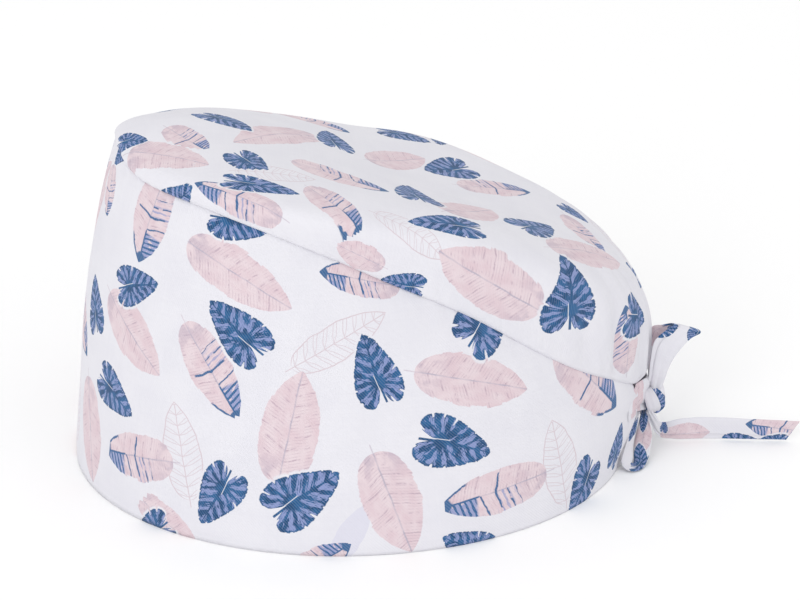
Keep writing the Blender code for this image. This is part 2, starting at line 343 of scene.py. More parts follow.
@dataclass(frozen=True)
class CapForm:
    """The cap's own shape, with the sizes that its solids have."""

    gap: float = 0.0003
    front_reach: float = 0.1000
    back_reach: float = 0.1035
    half_width: float = 0.0885
    hem_height: float = 0.0040
    front_height: float = 0.1245
    wall_bulge: float = 0.0022
    shoulder_share: float = 0.14
    shoulder_power: float = 8
    far_side_drop: float = 0.0105
    back_angle: float = 174.0
    back_slot: float = 0.0050
    top_out: float = 0.0030
    top_height: float = 0.1115
    crown_rise: float = 0.0650
    crown_puff: float = 0.0130
    crown_slope: float = -0.45
    crown_roll: float = -0.084
    crown_reach: float = 0.72
    stations: tuple[Station, ...] = (
        Station(0, 1.000, 0.812, 0.06, 0.05),
        Station(20, 0.955, 0.795, 0.07, 0.15),
        Station(45, 0.925, 0.740, 0.11, 0.22),
        Station(70, 0.855, 0.700, 0.24, 0.26),
        Station(95, 0.742, 0.680, 0.47, 0.30),
        Station(120, 0.605, 0.760, 0.72, 0.42),
        Station(150, 0.352, 0.955, 0.92, 0.64),
        Station(180, 0.197, 1.045, 1.00, 0.95),
    )

    def station_value(self, column: str, angle: float) -> float:
        """Return a column of the stations at any angle, the same on both sides.

        Args:
            column: the column's name.
            angle: degrees round the cap.

        Returns:
            The smooth value there.
        """
        folded = abs(signed_turn(angle))
        rows = self.stations
        spot = 0
        while spot < len(rows) - 2 and folded > rows[spot + 1].angle:
            spot += 1

        def slope(index: int) -> float:
            """Work out the curve's slope at a station, level at both ends.

            Args:
                index: the station's row.

            Returns:
                The slope for each degree.
            """
            if index in (0, len(rows) - 1):
                return 0.0
            before, after = rows[index - 1], rows[index + 1]
            rise = getattr(after, column) - getattr(before, column)
            return rise / (after.angle - before.angle)

        start, end = rows[spot], rows[spot + 1]
        span = end.angle - start.angle
        share = (folded - start.angle) / span
        square = share * share
        cube = square * share
        value = (2 * cube - 3 * square + 1) * getattr(start, column)
        value += (cube - 2 * square + share) * span * slope(spot)
        value += (3 * square - 2 * cube) * getattr(end, column)
        value += (cube - square) * span * slope(spot + 1)
        return value

    def rim_point(self, angle: float) -> Vector:
        """Return the rim's point on the ground.

        Args:
            angle: degrees round the cap.

        Returns:
            The point.
        """
        turn = math.radians(angle)
        reach = self.front_reach if math.cos(turn) > 0 else self.back_reach
        return Vector((-reach * math.cos(turn), -self.half_width * math.sin(turn), 0.0))

    def outward(self, angle: float) -> Vector:
        """Return the level direction away from the cap's middle at an angle."""
        return self.rim_point(angle).normalized()

    def seam_height(self, angle: float) -> float:
        """Return the seam's height over the ground.

        Args:
            angle: degrees round the cap.

        Returns:
            The height.
        """
        height = self.front_height * self.station_value("height", angle)
        far = max(0.0, -math.sin(math.radians(angle)))
        return height - self.far_side_drop * far * far

    def wall_point(self, angle: float, height: float) -> Vector:
        """Return a point of the band's outer face.

        Args:
            angle: degrees round the cap.
            height: the height over the ground.

        Returns:
            The point.
        """
        top = self.seam_height(angle)
        share = max(0.0, (height - self.hem_height) / (top - self.hem_height))
        lean = 1.0 - self.station_value("plan", angle)
        curve = (1.0 - self.shoulder_share) * share
        curve += self.shoulder_share * share ** self.shoulder_power
        rim = self.rim_point(angle)
        point = rim * (1.0 - lean * curve)
        point += rim.normalized() * self.wall_bulge * 4.0 * share * (1.0 - share)
        point.z = height
        return point

    def crown_point(self, angle: float, share: float) -> Vector:
        """Return a point of the smooth crown.

        Args:
            angle: degrees round the cap.
            share: 0 at the seam and 1 at the top.

        Returns:
            The point.
        """
        foot = self.wall_point(angle, self.seam_height(angle))
        foot.z += self.gap
        away = self.outward(angle)
        top = Vector((self.top_out, 0.0, self.top_height))
        lift = foot + away * self.crown_puff * self.station_value("puff", angle)
        lift.z += self.crown_rise * self.station_value("rise", angle)
        spread = (foot - top) * self.crown_reach
        slope = spread.x * self.crown_slope + spread.y * self.crown_roll
        shoulder = top + Vector((spread.x, spread.y, slope))
        rest = 1.0 - share
        point = foot * rest ** 3 + lift * (3 * rest * rest * share)
        return point + shoulder * (3 * rest * share * share) + top * share ** 3


class Stamp(NamedTuple):
    """A leaf placed in space: its middle, its two directions, its size in metres, its
    seed and how plump it is.
    """

    leaf: Leaf
    middle: Vector
    along: Vector
    across: Vector
    size: float
    seed: float
    plump: float


def stamp_on(leaf: Leaf, middle: Vector, level: Vector, rise: Vector, turn: float,
             size: float, seed: float, plump: float = 1.0) -> Stamp:
    """Return a leaf turned in the plane of two directions of the cloth.

    Args:
        leaf: the kind of leaf.
        middle: where its middle lies.
        level: the first direction of the cloth.
        rise: the second direction, square to the first.
        turn: the turn of its axis from the first direction, in degrees.
        size: its size in metres.
        seed: a number from 0 to 0.9 that varies its drawing.
        plump: its width over the usual one.

    Returns:
        The placed leaf.
    """
    angle = math.radians(turn)
    along = level * math.cos(angle) + rise * math.sin(angle)
    across = rise * math.cos(angle) - level * math.sin(angle)
    return Stamp(leaf, middle, along, across, size, seed, plump)


def seed_of(index: int) -> float:
    """Return the seed of a leaf by its place in the list, between 0 and 0.9."""
    return (index * SEED_STEP) % SEED_TOP


def corner_places(mesh: bpy.types.Mesh, on_flat: bool) -> np.ndarray:
    """Return where each face corner lies, in space or on the flat cloth.

    Args:
        mesh: the cloth's mesh.
        on_flat: whether to read the map of the flat cloth instead of the shape.

    Returns:
        One row of three coordinates for each corner, in metres.
    """
    corners = len(mesh.loops)
    if on_flat:
        flat = np.empty(corners * 2)
        mesh.uv_layers["cloth"].data.foreach_get("uv", flat)
        return np.hstack([flat.reshape(corners, 2), np.zeros((corners, 1))])
    places = np.empty(len(mesh.vertices) * 3)
    mesh.vertices.foreach_get("co", places)
    order = np.empty(corners, dtype=np.int64)
    mesh.loops.foreach_get("vertex_index", order)
    return places.reshape(-1, 3)[order]


def print_cloth(mesh: bpy.types.Mesh, stamps: Sequence[Stamp], on_flat: bool = False) -> None:
    """Store at every face corner where it lies in the nearest leaf of each layer.

    Args:
        mesh: the cloth's mesh.
        stamps: the placed leaves.
        on_flat: whether the leaves are placed on the map of the flat cloth.
    """
    places = corner_places(mesh, on_flat)
    totals = np.empty(len(mesh.polygons), dtype=np.int64)
    mesh.polygons.foreach_get("loop_total", totals)
    starts = np.concatenate([[0], np.cumsum(totals)[:-1]])
    middles = np.add.reduceat(places, starts, axis=0) / totals[:, None]
    owner = np.repeat(np.arange(len(totals)), totals)
    for layer in Layer:
        row = [stamp for stamp in stamps if LAYER_OF[stamp.leaf] is layer]
        values = np.full((len(places), 3), OUT_OF_LEAF)
        if row:
            centres = np.array([stamp.middle for stamp in row])
            sizes = np.array([stamp.size for stamp in row])
            reach = np.stack([np.linalg.norm(middles - centre, axis=1) / size
                              for centre, size in zip(centres, sizes)])
            nearest = reach.argmin(axis=0)[owner]
            offset = places - centres[nearest]
            along = np.array([stamp.along for stamp in row])[nearest]
            across = np.array([stamp.across for stamp in row])[nearest]
            values[:, 0] = (offset * along).sum(axis=1) / sizes[nearest]
            widths = np.array([stamp.size * stamp.plump for stamp in row])[nearest]
            values[:, 1] = (offset * across).sum(axis=1) / widths
            codes = np.array([stamp.leaf.value + stamp.seed for stamp in row])
            values[:, 2] = codes[nearest]
        attribute = mesh.attributes.new(layer.value, "FLOAT_VECTOR", "CORNER")
        attribute.data.foreach_set("vector", values.astype(np.float32).ravel())


Input = Union["Value", float, Sequence[float]]


class Mix(Enum):
    """What a Mix node mixes, by its data type, with the places of the share, the first
    and the second input and the result, because its sockets share their names.
    """

    FLOAT = (0, 2, 3, 0)
    RGBA = (0, 6, 7, 2)


@dataclass(frozen=True)
class Value:
    """An output socket that takes part in sums, so that formulas read as formulas."""

    graph: "Graph"
    socket: bpy.types.NodeSocket

    def __add__(self, other: Input) -> "Value":
        """Return the sum."""
        return self.graph.math("ADD", self, other)

    def __sub__(self, other: Input) -> "Value":
        """Return the difference."""
        return self.graph.math("SUBTRACT", self, other)

    def __mul__(self, other: Input) -> "Value":
        """Return the product."""
        return self.graph.math("MULTIPLY", self, other)

    def __truediv__(self, other: Input) -> "Value":
        """Return the quotient."""
        return self.graph.math("DIVIDE", self, other)

    def __gt__(self, other: Input) -> "Value":
        """Return 1 where this is greater."""
        return self.graph.math("GREATER_THAN", self, other)

    def __lt__(self, other: Input) -> "Value":
        """Return 1 where this is less."""
        return self.graph.math("LESS_THAN", self, other)


@dataclass(frozen=True)
class Graph:
    """A node tree with short calls for the nodes that the finishes use."""

    tree: bpy.types.NodeTree

    def node(self, kind: str, **settings: object) -> bpy.types.Node:
        """Add a node.

        Args:
            kind: the node's type.
            settings: its properties.

        Returns:
            The node.
        """
        made = self.tree.nodes.new(kind)
        for name, setting in settings.items():
            setattr(made, name, setting)
        return made

    def put(self, value: Input, socket: bpy.types.NodeSocket) -> None:
        """Join a value to a socket, or set the socket to a number or colour.

        Args:
            value: the value, number or colour.
            socket: the input socket.
        """
        if isinstance(value, Value):
            self.tree.links.new(value.socket, socket)
        else:
            socket.default_value = value

    def math(self, operation: str, *values: Input) -> Value:
        """Add a Math node.

        Args:
            operation: what it does.
            values: its inputs in order.

        Returns:
            The result.
        """
        made = self.node("ShaderNodeMath", operation=operation)
        for value, socket in zip(values, made.inputs):
            self.put(value, socket)
        return Value(self, made.outputs[0])

    def size(self, value: Input) -> Value:
        """Return the value without its sign."""
        return self.math("ABSOLUTE", value)

    def greater(self, first: Input, second: Input) -> Value:
        """Return the greater of two values."""
        return self.math("MAXIMUM", first, second)

    def ramp(self, value: Input, low: Input, high: Input) -> Value:
        """Add a smooth step.

        Args:
            value: the value that is read.
            low: where the step is 0.
            high: where it is 1. It may be the lower of the two.

        Returns:
            The step's height.
        """
        made = self.node("ShaderNodeMapRange", interpolation_type="SMOOTHSTEP")
        self.put(value, made.inputs["Value"])
        self.put(low, made.inputs["From Min"])
        self.put(high, made.inputs["From Max"])
        return Value(self, made.outputs["Result"])

    def inside(self, value: Input, low: float, high: float, soft: float) -> Value:
        """Return 1 where a value lies between two others, with soft ends."""
        below = self.ramp(value, low - soft, low + soft)
        return below * self.ramp(value, high + soft, high - soft)

    def line(self, value: Value, centre: Input, half: Input, soft: float) -> Value:
        """Return 1 where a value is within half of a centre, with soft edges."""
        gap = self.size(value - centre)
        return self.ramp(gap - half, soft, -soft)

    def mix(self, kind: Mix, share: Input, first: Input, second: Input) -> Value:
        """Add a mix of two numbers or colours.

        Args:
            kind: what is mixed.
            share: how much of the second is taken, from 0 to 1.
            first: the first number or colour.
            second: the second number or colour.

        Returns:
            The mixed number or colour.
        """
        made = self.node("ShaderNodeMix", data_type=kind.name)
        *spots, result = kind.value
        for value, spot in zip((share, first, second), spots):
            self.put(value, made.inputs[spot])
        return Value(self, made.outputs[result])

    def choose(self, share: Input, first: Input, second: Input) -> Value:
        """Return the first number where share is 0 and the second where it is 1."""
        return self.mix(Mix.FLOAT, share, first, second)

    def tint(self, share: Input, first: Input, second: Input) -> Value:
        """Return the first colour where share is 0 and the second where it is 1."""
        return self.mix(Mix.RGBA, share, first, second)

    def curve(self, value: Input, points: Sequence[tuple[float, float]]) -> Value:
        """Add a smooth curve.

        Args:
            value: the value that is read, from 0 to 1.
            points: the places and heights that the curve runs through.

        Returns:
            The curve's height.
        """
        made = self.node("ShaderNodeFloatCurve")
        row = made.mapping.curves[0].points
        while len(row) < len(points):
            row.new(*points[len(row)])
        for point, (start, height) in zip(row, points):
            point.location = (start, height)
        made.mapping.update()
        self.put(value, made.inputs["Value"])
        return Value(self, made.outputs[0])

    def parts(self, vector: Input) -> tuple[Value, Value, Value]:
        """Split a vector.

        Args:
            vector: the vector.

        Returns:
            Its three parts.
        """
        made = self.node("ShaderNodeSeparateXYZ")
        self.put(vector, made.inputs[0])
        return tuple(Value(self, socket) for socket in made.outputs)

    def vector(self, first: Input, second: Input, third: Input) -> Value:
        """Join three values.

        Args:
            first: the vector's first part.
            second: its second part.
            third: its third part.

        Returns:
            The vector.
        """
        made = self.node("ShaderNodeCombineXYZ")
        for value, socket in zip((first, second, third), made.inputs):
            self.put(value, socket)
        return Value(self, made.outputs[0])

    def noise(self, vector: Input, scale: float, detail: float = 2.0) -> Value:
        """Add soft noise.

        Args:
            vector: the place that is read.
            scale: how closely the noise's spots follow each other.
            detail: how many finer layers it has.

        Returns:
            The noise there, from 0 to 1.
        """
        made = self.node("ShaderNodeTexNoise")
        self.put(vector, made.inputs["Vector"])
        made.inputs["Scale"].default_value = scale
        made.inputs["Detail"].default_value = detail
        return Value(self, made.outputs[0])

    def chance(self, value: Input) -> Value:
        """Add a random number.

        Args:
            value: the value that the number belongs to.

        Returns:
            The number, from 0 to 1.
        """
        made = self.node("ShaderNodeTexWhiteNoise", noise_dimensions="1D")
        self.put(value, made.inputs["W"])
        return Value(self, made.outputs["Value"])

    def attribute(self, name: str) -> Value:
        """Return a stored vector."""
        made = self.node("ShaderNodeAttribute", attribute_name=name)
        return Value(self, made.outputs["Vector"])

    def group(self, tree: bpy.types.NodeTree, *values: Input) -> tuple[Value, ...]:
        """Place a node group.

        Args:
            tree: the group.
            values: its inputs in order.

        Returns:
            Its outputs in order.
        """
        made = self.node("ShaderNodeGroup", node_tree=tree)
        for value, socket in zip(values, made.inputs):
            self.put(value, socket)
        return tuple(Value(self, socket) for socket in made.outputs)


def new_group(name: str, inputs: Sequence[tuple[str, str]],
              outputs: Sequence[tuple[str, str]]) -> tuple[Graph, list[Value], Callable]:
    """Start a shader node group.

    Args:
        name: the group's name.
        inputs: each input's name and socket type.
        outputs: each output's name and socket type.

    Returns:
        The group's graph, its inputs as values and a function that takes its outputs.
    """
    tree = bpy.data.node_groups.new(name, "ShaderNodeTree")
    for label, kind in inputs:
        tree.interface.new_socket(label, in_out="INPUT", socket_type=kind)
    for label, kind in outputs:
        tree.interface.new_socket(label, in_out="OUTPUT", socket_type=kind)
    graph = Graph(tree)
    entry = graph.node("NodeGroupInput")
    leave = graph.node("NodeGroupOutput")

    def give(*values: Input) -> bpy.types.NodeTree:
        """Join the outputs in order and return the group."""
        for value, socket in zip(values, leave.inputs):
            graph.put(value, socket)
        return tree

    return graph, [Value(graph, socket) for socket in entry.outputs[:len(inputs)]], give


FLOAT, VECTOR, COLOUR = "NodeSocketFloat", "NodeSocketVector", "NodeSocketColor"


@dataclass(frozen=True)
class Inks:
    """The colours of the cloth and its print."""

    cloth: Colour = ink(224, 223, 229)
    cloth_shade: Colour = ink(220, 219, 226)
    blue: Colour = ink(35, 92, 141)
    deep_blue: Colour = ink(20, 70, 114)
    lavender: Colour = ink(131, 145, 191)
    pink: Colour = ink(221, 205, 210)
    rose: Colour = ink(214, 192, 199)
    vein: Colour = ink(181, 158, 172)
    grey_vein: Colour = ink(176, 168, 184)
    drawn_line: Colour = ink(205, 189, 196)
    ghost: Colour = ink(210, 209, 223)


class Pace(NamedTuple):
    """How fast a noise changes across the veins and along them, and its scale."""

    across: float
    along: float
    scale: float


@dataclass(frozen=True)
class HeartLeaf:
    """The blue heart leaf, drawn round the joint of its stalk with its tip at x = 1.

    A Step holds where a smooth step is 0 and where it is 1. A Zone holds two ends and
    how soft they are.
    """

    inks: Inks
    fan_start: float = 50.0
    fan_step: float = 31.0
    side_vein_step: float = 0.235
    side_seed: float = 7.3
    wobble_scale: float = 3.2
    wobble_share: float = 0.55
    notch_zone: Zone = (0.3, 4.0, 0.5)
    notch_step: Step = (-0.80, -1.0)
    notch_depth: float = 0.36
    least_notch: float = 0.035
    frill_pace: float = 9.0
    frill_depth: float = 0.10
    edge_step: Step = (-0.010, 0.010)
    halo_step: Step = (-0.085, -0.03)
    stalk_zone: Zone = (-0.43, 0.0, 0.01)
    stalk_bend: float = 0.10
    stalk_half: float = 0.022
    stalk_soft: float = 0.006
    pinnate_stretch: float = 1.3
    streak_pace: Pace = Pace(1.6, 3.4, 2.0)
    streak_side: float = 5.0
    brush_pace: Pace = Pace(5.0, 3.0, 2.0)
    fine_pace: Pace = Pace(8.0, 4.0, 2.0)
    patch_mix: tuple[float, float, float] = (0.8, 4.6, 4.0)
    patch_step: Step = (0.02, -0.12)
    joint_step: Step = (0.13, 0.18)
    joint_brush: float = 0.20
    margin_step: Step = (0.016, 0.036)
    margin_brush: float = 0.10
    margin_streak: float = 0.12
    midrib_growth: float = 0.030
    midrib_half: float = 0.008
    midrib_soft: float = 0.006
    fine_step: Step = (0.64, 0.58)
    tone_scale: float = 5.0
    tone_step: Step = (0.35, 0.65)
    glint_zone: Zone = (-0.30, 0.16, 0.02)
    glint_shift: float = 0.036
    glint_half: float = 0.007
    glint_soft: float = 0.005
    glint_share: float = 0.9
    outline: tuple[Step, ...] = (
        (0.000, 1.00), (0.060, 0.86), (0.140, 0.67), (0.250, 0.54), (0.390, 0.48),
        (0.530, 0.49), (0.690, 0.54), (0.800, 0.57), (0.880, 0.50), (0.935, 0.27),
        (0.975, 0.08), (1.000, 0.03),
    )

    def build(self) -> bpy.types.NodeTree:
        """Draw the leaf's outline, stalk and veins.

        Returns:
            The group that gives the leaf's mask, halo and colour.
        """
        g, (place,), give = new_group("heart leaf", [("Place", VECTOR)],
                                      [("Mask", FLOAT), ("Halo", FLOAT), ("Colour", COLOUR)])
        x, y, code = g.parts(place)
        seed = g.math("FRACT", code) * SEED_SPREAD
        side = y > 0.0
        width = g.size(y)
        reach = g.math("SQRT", x * x + y * y)
        turn = g.math("ARCTAN2", width, x)
        wobble = g.noise(g.vector(x, y, seed), self.wobble_scale) - 0.5
        fan = (turn * (HALF_TURN / math.pi) - self.fan_start) / self.fan_step
        cot = 1.0 / math.tan(math.radians(self.fan_start))
        pinnate = (x - width * cot) / self.side_vein_step
        in_fan = fan > 0.0
        phase = g.choose(in_fan, pinnate, fan) + wobble * self.wobble_share
        wave = g.math("COSINE", phase * TWO_PI)
        lobe = g.chance(g.math("FLOOR", phase) + side * self.side_seed + seed)
        notched = lobe * lobe * g.inside(fan, *self.notch_zone)
        depth = notched * self.notch_depth + self.least_notch
        notch = g.ramp(wave, *self.notch_step) * depth
        ragged = g.noise(g.vector(turn * self.frill_pace, seed, side), 1.0) - 0.5
        frill = ragged * self.frill_depth
        outline = g.curve(turn / math.pi, self.outline)
        edge = outline * (frill + 1.0 - notch) - reach
        leaf = g.ramp(edge, *self.edge_step)
        bend = x * self.stalk_bend
        stalk = g.inside(x, *self.stalk_zone) * g.line(y, bend, self.stalk_half,
                                                       self.stalk_soft)
        mask = g.greater(leaf, stalk)
        halo = g.ramp(edge, *self.halo_step)
        along = g.choose(in_fan, width * self.pinnate_stretch, reach)

        def grain(pace: Pace, sort: Value) -> Value:
            """Return noise that is drawn out along the veins."""
            return g.noise(g.vector(phase * pace.across, along * pace.along, sort),
                           pace.scale)

        streak = grain(self.streak_pace, seed + side * self.streak_side) - 0.5
        brush = grain(self.brush_pace, seed) - 0.5
        wave_share, streak_share, brush_share = self.patch_mix
        patch = g.ramp(wave * wave_share + streak * streak_share + brush * brush_share,
                       *self.patch_step)
        patch = patch * g.ramp(reach + brush * self.joint_brush, *self.joint_step)
        rough_edge = edge + brush * self.margin_brush + streak * self.margin_streak
        patch = patch * g.ramp(rough_edge, *self.margin_step)
        half = g.ramp(x, 1.0, 0.0) * self.midrib_growth + self.midrib_half
        midrib = g.line(y, 0.0, half, self.midrib_soft)
        ahead = x > 0.0
        patch = patch * (midrib * ahead * -1.0 + 1.0)
        patch = patch * g.ramp(grain(self.fine_pace, seed), *self.fine_step)
        tone = g.noise(g.vector(x, y, seed), self.tone_scale)
        blue = g.tint(g.ramp(tone, *self.tone_step), self.inks.blue, self.inks.deep_blue)
        colour = g.tint(patch, blue, self.inks.lavender)
        glint = g.inside(x, *self.glint_zone) * g.line(
            y, bend + self.glint_shift, self.glint_half, self.glint_soft)
        colour = g.tint(glint * self.glint_share, colour, self.inks.cloth)
        return give(mask, halo, colour)


class BrushLine(NamedTuple):
    """A brush stroke along a vein: its place, how it shakes, how rough and how wide."""

    centre: float
    shake: float
    rough: float
    half: float


MAIN_STROKE = BrushLine(0.02, 0.10, 0.020, 0.020)
SECOND_STROKE = BrushLine(0.27, 0.12, 0.022, 0.014)
THIRD_STROKE = BrushLine(-0.20, 0.12, 0.030, 0.014)
FOURTH_STROKE = BrushLine(-0.36, 0.12, 0.040, 0.006)


@dataclass(frozen=True)
class LongLeaf:
    """The long pink leaf from stalk at x = -1 to tip at x = 1, plain or with strokes."""

    inks: Inks
    lean: float = 0.50
    stroke_lean: float = -0.30
    wobble_scale: float = 2.6
    lobe_pace: float = 3.3
    side_seed: float = 13.7
    lobe_depth: float = -0.12
    usual_girth: float = 1.03
    stroked_girth: float = 0.90
    frill_pace: float = 8.0
    frill_scale: float = 1.4
    frill_depth: float = 0.16
    tear_pace: float = 14.0
    tear_side: float = 3.0
    tear_step: Step = (0.66, 0.76)
    tear_depth: float = 0.10
    edge_step: Step = (-0.008, 0.008)
    end_zone: Zone = (-0.99, 0.99, 0.01)
    stalk_zone: Zone = (-1.16, -0.96, 0.02)
    stalk_half: float = 0.010
    stalk_soft: float = 0.006
    stalk_share: float = 0.6
    mottle_stretch: float = 1.6
    mottle_scale: float = 3.4
    mottle_step: Step = (0.30, 0.72)
    vein_count: float = 5.2
    vein_wobble: float = 0.14
    vein_step: Step = (0.86, 0.98)
    vein_share: float = 0.80
    ragged_pace: Step = (16.0, 9.0)
    ragged_scale: float = 1.5
    ragged_step: Step = (0.34, 0.52)
    fade_pace: Step = (1.6, 3.0)
    fade_scale: float = 3.0
    fade_step: Step = (0.38, 0.62)
    thin_count: float = 17.0
    thin_wobble: float = 0.06
    thin_step: Step = (0.30, 0.98)
    thin_share: float = 0.34
    rib_wobble: float = 0.04
    rib_half: float = 0.011
    rib_soft: float = 0.008
    rib_fade: float = 0.5
    rib_share: float = 0.40
    cloud_step: Step = (-0.30, -0.95)
    cloud_mottle: Step = (0.42, 0.60)
    cloud_share: float = 0.45
    shake_pace: float = 1.4
    shake_scale: float = 3.0
    rough_pace: Step = (15.0, 6.0)
    rough_scale: float = 1.5
    stroke_soft: float = 0.008
    stroke_share: float = 0.95
    main_end: Step = (0.34, 0.30)
    third_gap: float = 0.16
    third_step: Step = (0.03, 0.06)
    hatch_zone: Zone = (0.36, 0.84, 0.03)
    hatch_count: float = 10.5
    hatch_shake: float = 0.04
    hatch_rough: float = 2.6
    hatch_step: Step = (0.10, 0.40)
    wash_step: Step = (0.16, 0.04)
    wash_share: float = 0.85
    smear_zone: Zone = (-0.62, -0.04, 0.08)
    smear_count: float = 9.0
    smear_shake: float = 0.06
    smear_rough: float = 3.0
    smear_step: Step = (0.35, 0.85)
    smear_fade: Step = (-0.60, 0.0)
    smear_share: float = 0.80
    tip_shake: float = 0.16
    tip_slant: float = 0.5
    tip_step: Step = (0.76, 0.80)
    hem_rough: float = 0.05
    hem_step: Step = (0.046, 0.030)
    hem_zone: Zone = (0.50, 0.95, 0.04)
    spine_half: float = 0.016
    spine_zone: Zone = (0.30, 0.95, 0.03)
    width: tuple[Step, ...] = (
        (0.000, 0.00), (0.030, 0.17), (0.100, 0.30), (0.240, 0.40), (0.430, 0.44),
        (0.620, 0.41), (0.800, 0.30), (0.920, 0.15), (1.000, 0.00),
    )

    def build(self) -> bpy.types.NodeTree:
        """Draw the leaf's outline, veins and brush strokes.

        Returns:
            The group that gives the leaf's mask and colour.
        """
        g, (place,), give = new_group("long leaf", [("Place", VECTOR)],
                                      [("Mask", FLOAT), ("Colour", COLOUR)])
        x, y, code = g.parts(place)
        seed = g.math("FRACT", code) * SEED_SPREAD
        stroked = (code > float(Leaf.STROKED.value)) * (code < float(Leaf.OUTLINE.value))
        side = y > 0.0
        width = g.size(y)
        wobble = g.noise(g.vector(x, y, seed), self.wobble_scale) - 0.5
        slant = x - width * g.choose(stroked, self.lean, self.stroke_lean)
        lobe = g.chance(g.math("FLOOR", slant * self.lobe_pace + seed)
                        + side * self.side_seed)
        frill = g.noise(g.vector(slant * self.frill_pace, side, seed), self.frill_scale,
                        3.0) - 0.5
        tear = g.ramp(g.noise(g.vector(slant * self.tear_pace, side * self.tear_side, seed),
                              1.0), *self.tear_step)
        girth = g.curve(x * 0.5 + 0.5, self.width)
        girth = girth * g.choose(stroked, 1.0, self.stroked_girth)
        ragged = lobe * self.lobe_depth + self.usual_girth + frill * self.frill_depth
        edge = girth * (ragged - tear * self.tear_depth) - width
        mask = g.ramp(edge, *self.edge_step) * g.inside(x, *self.end_zone)
        stalk = g.inside(x, *self.stalk_zone) * g.line(y, 0.0, self.stalk_half,
                                                       self.stalk_soft)
        mask = g.greater(mask, stalk * self.stalk_share)
        mottle = g.noise(g.vector(x, y * self.mottle_stretch, seed), self.mottle_scale, 3.0)
        colour = g.tint(g.ramp(mottle, *self.mottle_step), self.inks.pink, self.inks.rose)
        veins, fade = self.veins(g, (x, y, slant), wobble, seed)
        colour = g.tint(veins, colour, self.inks.vein)
        rib = g.line(y, wobble * self.rib_wobble, self.rib_half, self.rib_soft)
        rib = rib * (fade * self.rib_fade + self.rib_share)
        colour = g.tint(rib, colour, self.inks.grey_vein)
        cloud = g.ramp(x, *self.cloud_step) * g.ramp(mottle, *self.cloud_mottle)
        colour = g.tint(cloud * self.cloud_share, colour, self.inks.grey_vein)
        strokes, wash = self.strokes(g, (x, y, slant), (side, width, edge), seed)
        colour = g.tint(wash * stroked, colour, self.inks.lavender)
        strokes = strokes * stroked * self.stroke_share
        return give(mask, g.tint(strokes, colour, self.inks.blue))

    def veins(self, g: Graph, place: tuple[Value, Value, Value], wobble: Value,
              seed: Value) -> tuple[Value, Value]:
        """Draw the broad and the thin veins, faded here and there.

        Args:
            g: the group's graph.
            place: the place along and across the leaf and along its veins.
            wobble: the unevenness of the hand's lines.
            seed: the leaf's own number.

        Returns:
            The mask of the veins and how much they show.
        """
        x, y, slant = place
        broad = g.math("COSINE", (slant + wobble * self.vein_wobble)
                       * (TWO_PI * self.vein_count))
        along, across = self.fade_pace
        fade = g.ramp(g.noise(g.vector(x * along, y * across, seed), self.fade_scale),
                      *self.fade_step)
        along, across = self.ragged_pace
        ragged = g.noise(g.vector(slant * along, y * across, seed), self.ragged_scale)
        veins = g.ramp(broad, *self.vein_step) * fade * g.ramp(ragged, *self.ragged_step)
        thin = g.math("COSINE", (slant + wobble * self.thin_wobble)
                      * (TWO_PI * self.thin_count))
        thin = g.ramp(thin, *self.thin_step) * fade * self.thin_share
        return g.greater(veins * self.vein_share, thin), fade

    def strokes(self, g: Graph, place: tuple[Value, Value, Value],
                margin: tuple[Value, Value, Value], seed: Value) -> tuple[Value, Value]:
        """Draw the brush strokes in blue and the lavender wash under them.

        Args:
            g: the group's graph.
            place: the place along and across the leaf and along its veins.
            margin: which side it is, the distance from the rib and from the margin.
            seed: the leaf's own number.

        Returns:
            The mask of the strokes and the mask of the wash.
        """
        x, y, slant = place
        side, width, edge = margin
        other = side * -1.0 + 1.0
        shake = g.noise(g.vector(x * self.shake_pace, y * self.shake_pace, seed),
                        self.shake_scale) - 0.5
        along, across = self.rough_pace
        rough = g.noise(g.vector(slant * along, y * across, seed), self.rough_scale) - 0.5

        def stroke(line: BrushLine) -> Value:
            """Return a stroke that follows a vein."""
            return g.line(slant + shake * line.shake, line.centre,
                          rough * line.rough + line.half, self.stroke_soft)

        main = stroke(MAIN_STROKE) * g.ramp(width, *self.main_end)
        second = stroke(SECOND_STROKE) * side
        third = stroke(THIRD_STROKE) * side
        third = third * g.ramp(g.size(width - self.third_gap), *self.third_step)
        fourth = stroke(FOURTH_STROKE) * side
        wave = g.math("COSINE", (slant + shake * self.hatch_shake)
                      * (TWO_PI * self.hatch_count))
        zone = g.inside(x, *self.hatch_zone) * side
        hatch = zone * g.ramp(wave + rough * self.hatch_rough, *self.hatch_step)
        wash = zone * g.ramp(rough + shake, *self.wash_step) * self.wash_share
        wave = g.math("COSINE", (slant + shake * self.smear_shake)
                      * (TWO_PI * self.smear_count))
        smear = g.inside(x, *self.smear_zone) * side * g.ramp(
            wave + rough * self.smear_rough, *self.smear_step)
        wash = g.greater(wash, smear * g.ramp(x, *self.smear_fade) * self.smear_share)
        tip = g.ramp(x + shake * self.tip_shake - width * self.tip_slant, *self.tip_step)
        hem = g.ramp(edge + rough * self.hem_rough, *self.hem_step)
        hem = hem * g.inside(x, *self.hem_zone) * other
        spine = g.line(y, shake * self.rib_wobble, self.spine_half, self.stroke_soft)
        spine = spine * g.inside(x, *self.spine_zone)
        strokes = g.greater(g.greater(main, second), g.greater(third, fourth))
        strokes = g.greater(strokes, g.greater(tip, hem))
        return g.greater(strokes, g.greater(hatch, spine)), wash


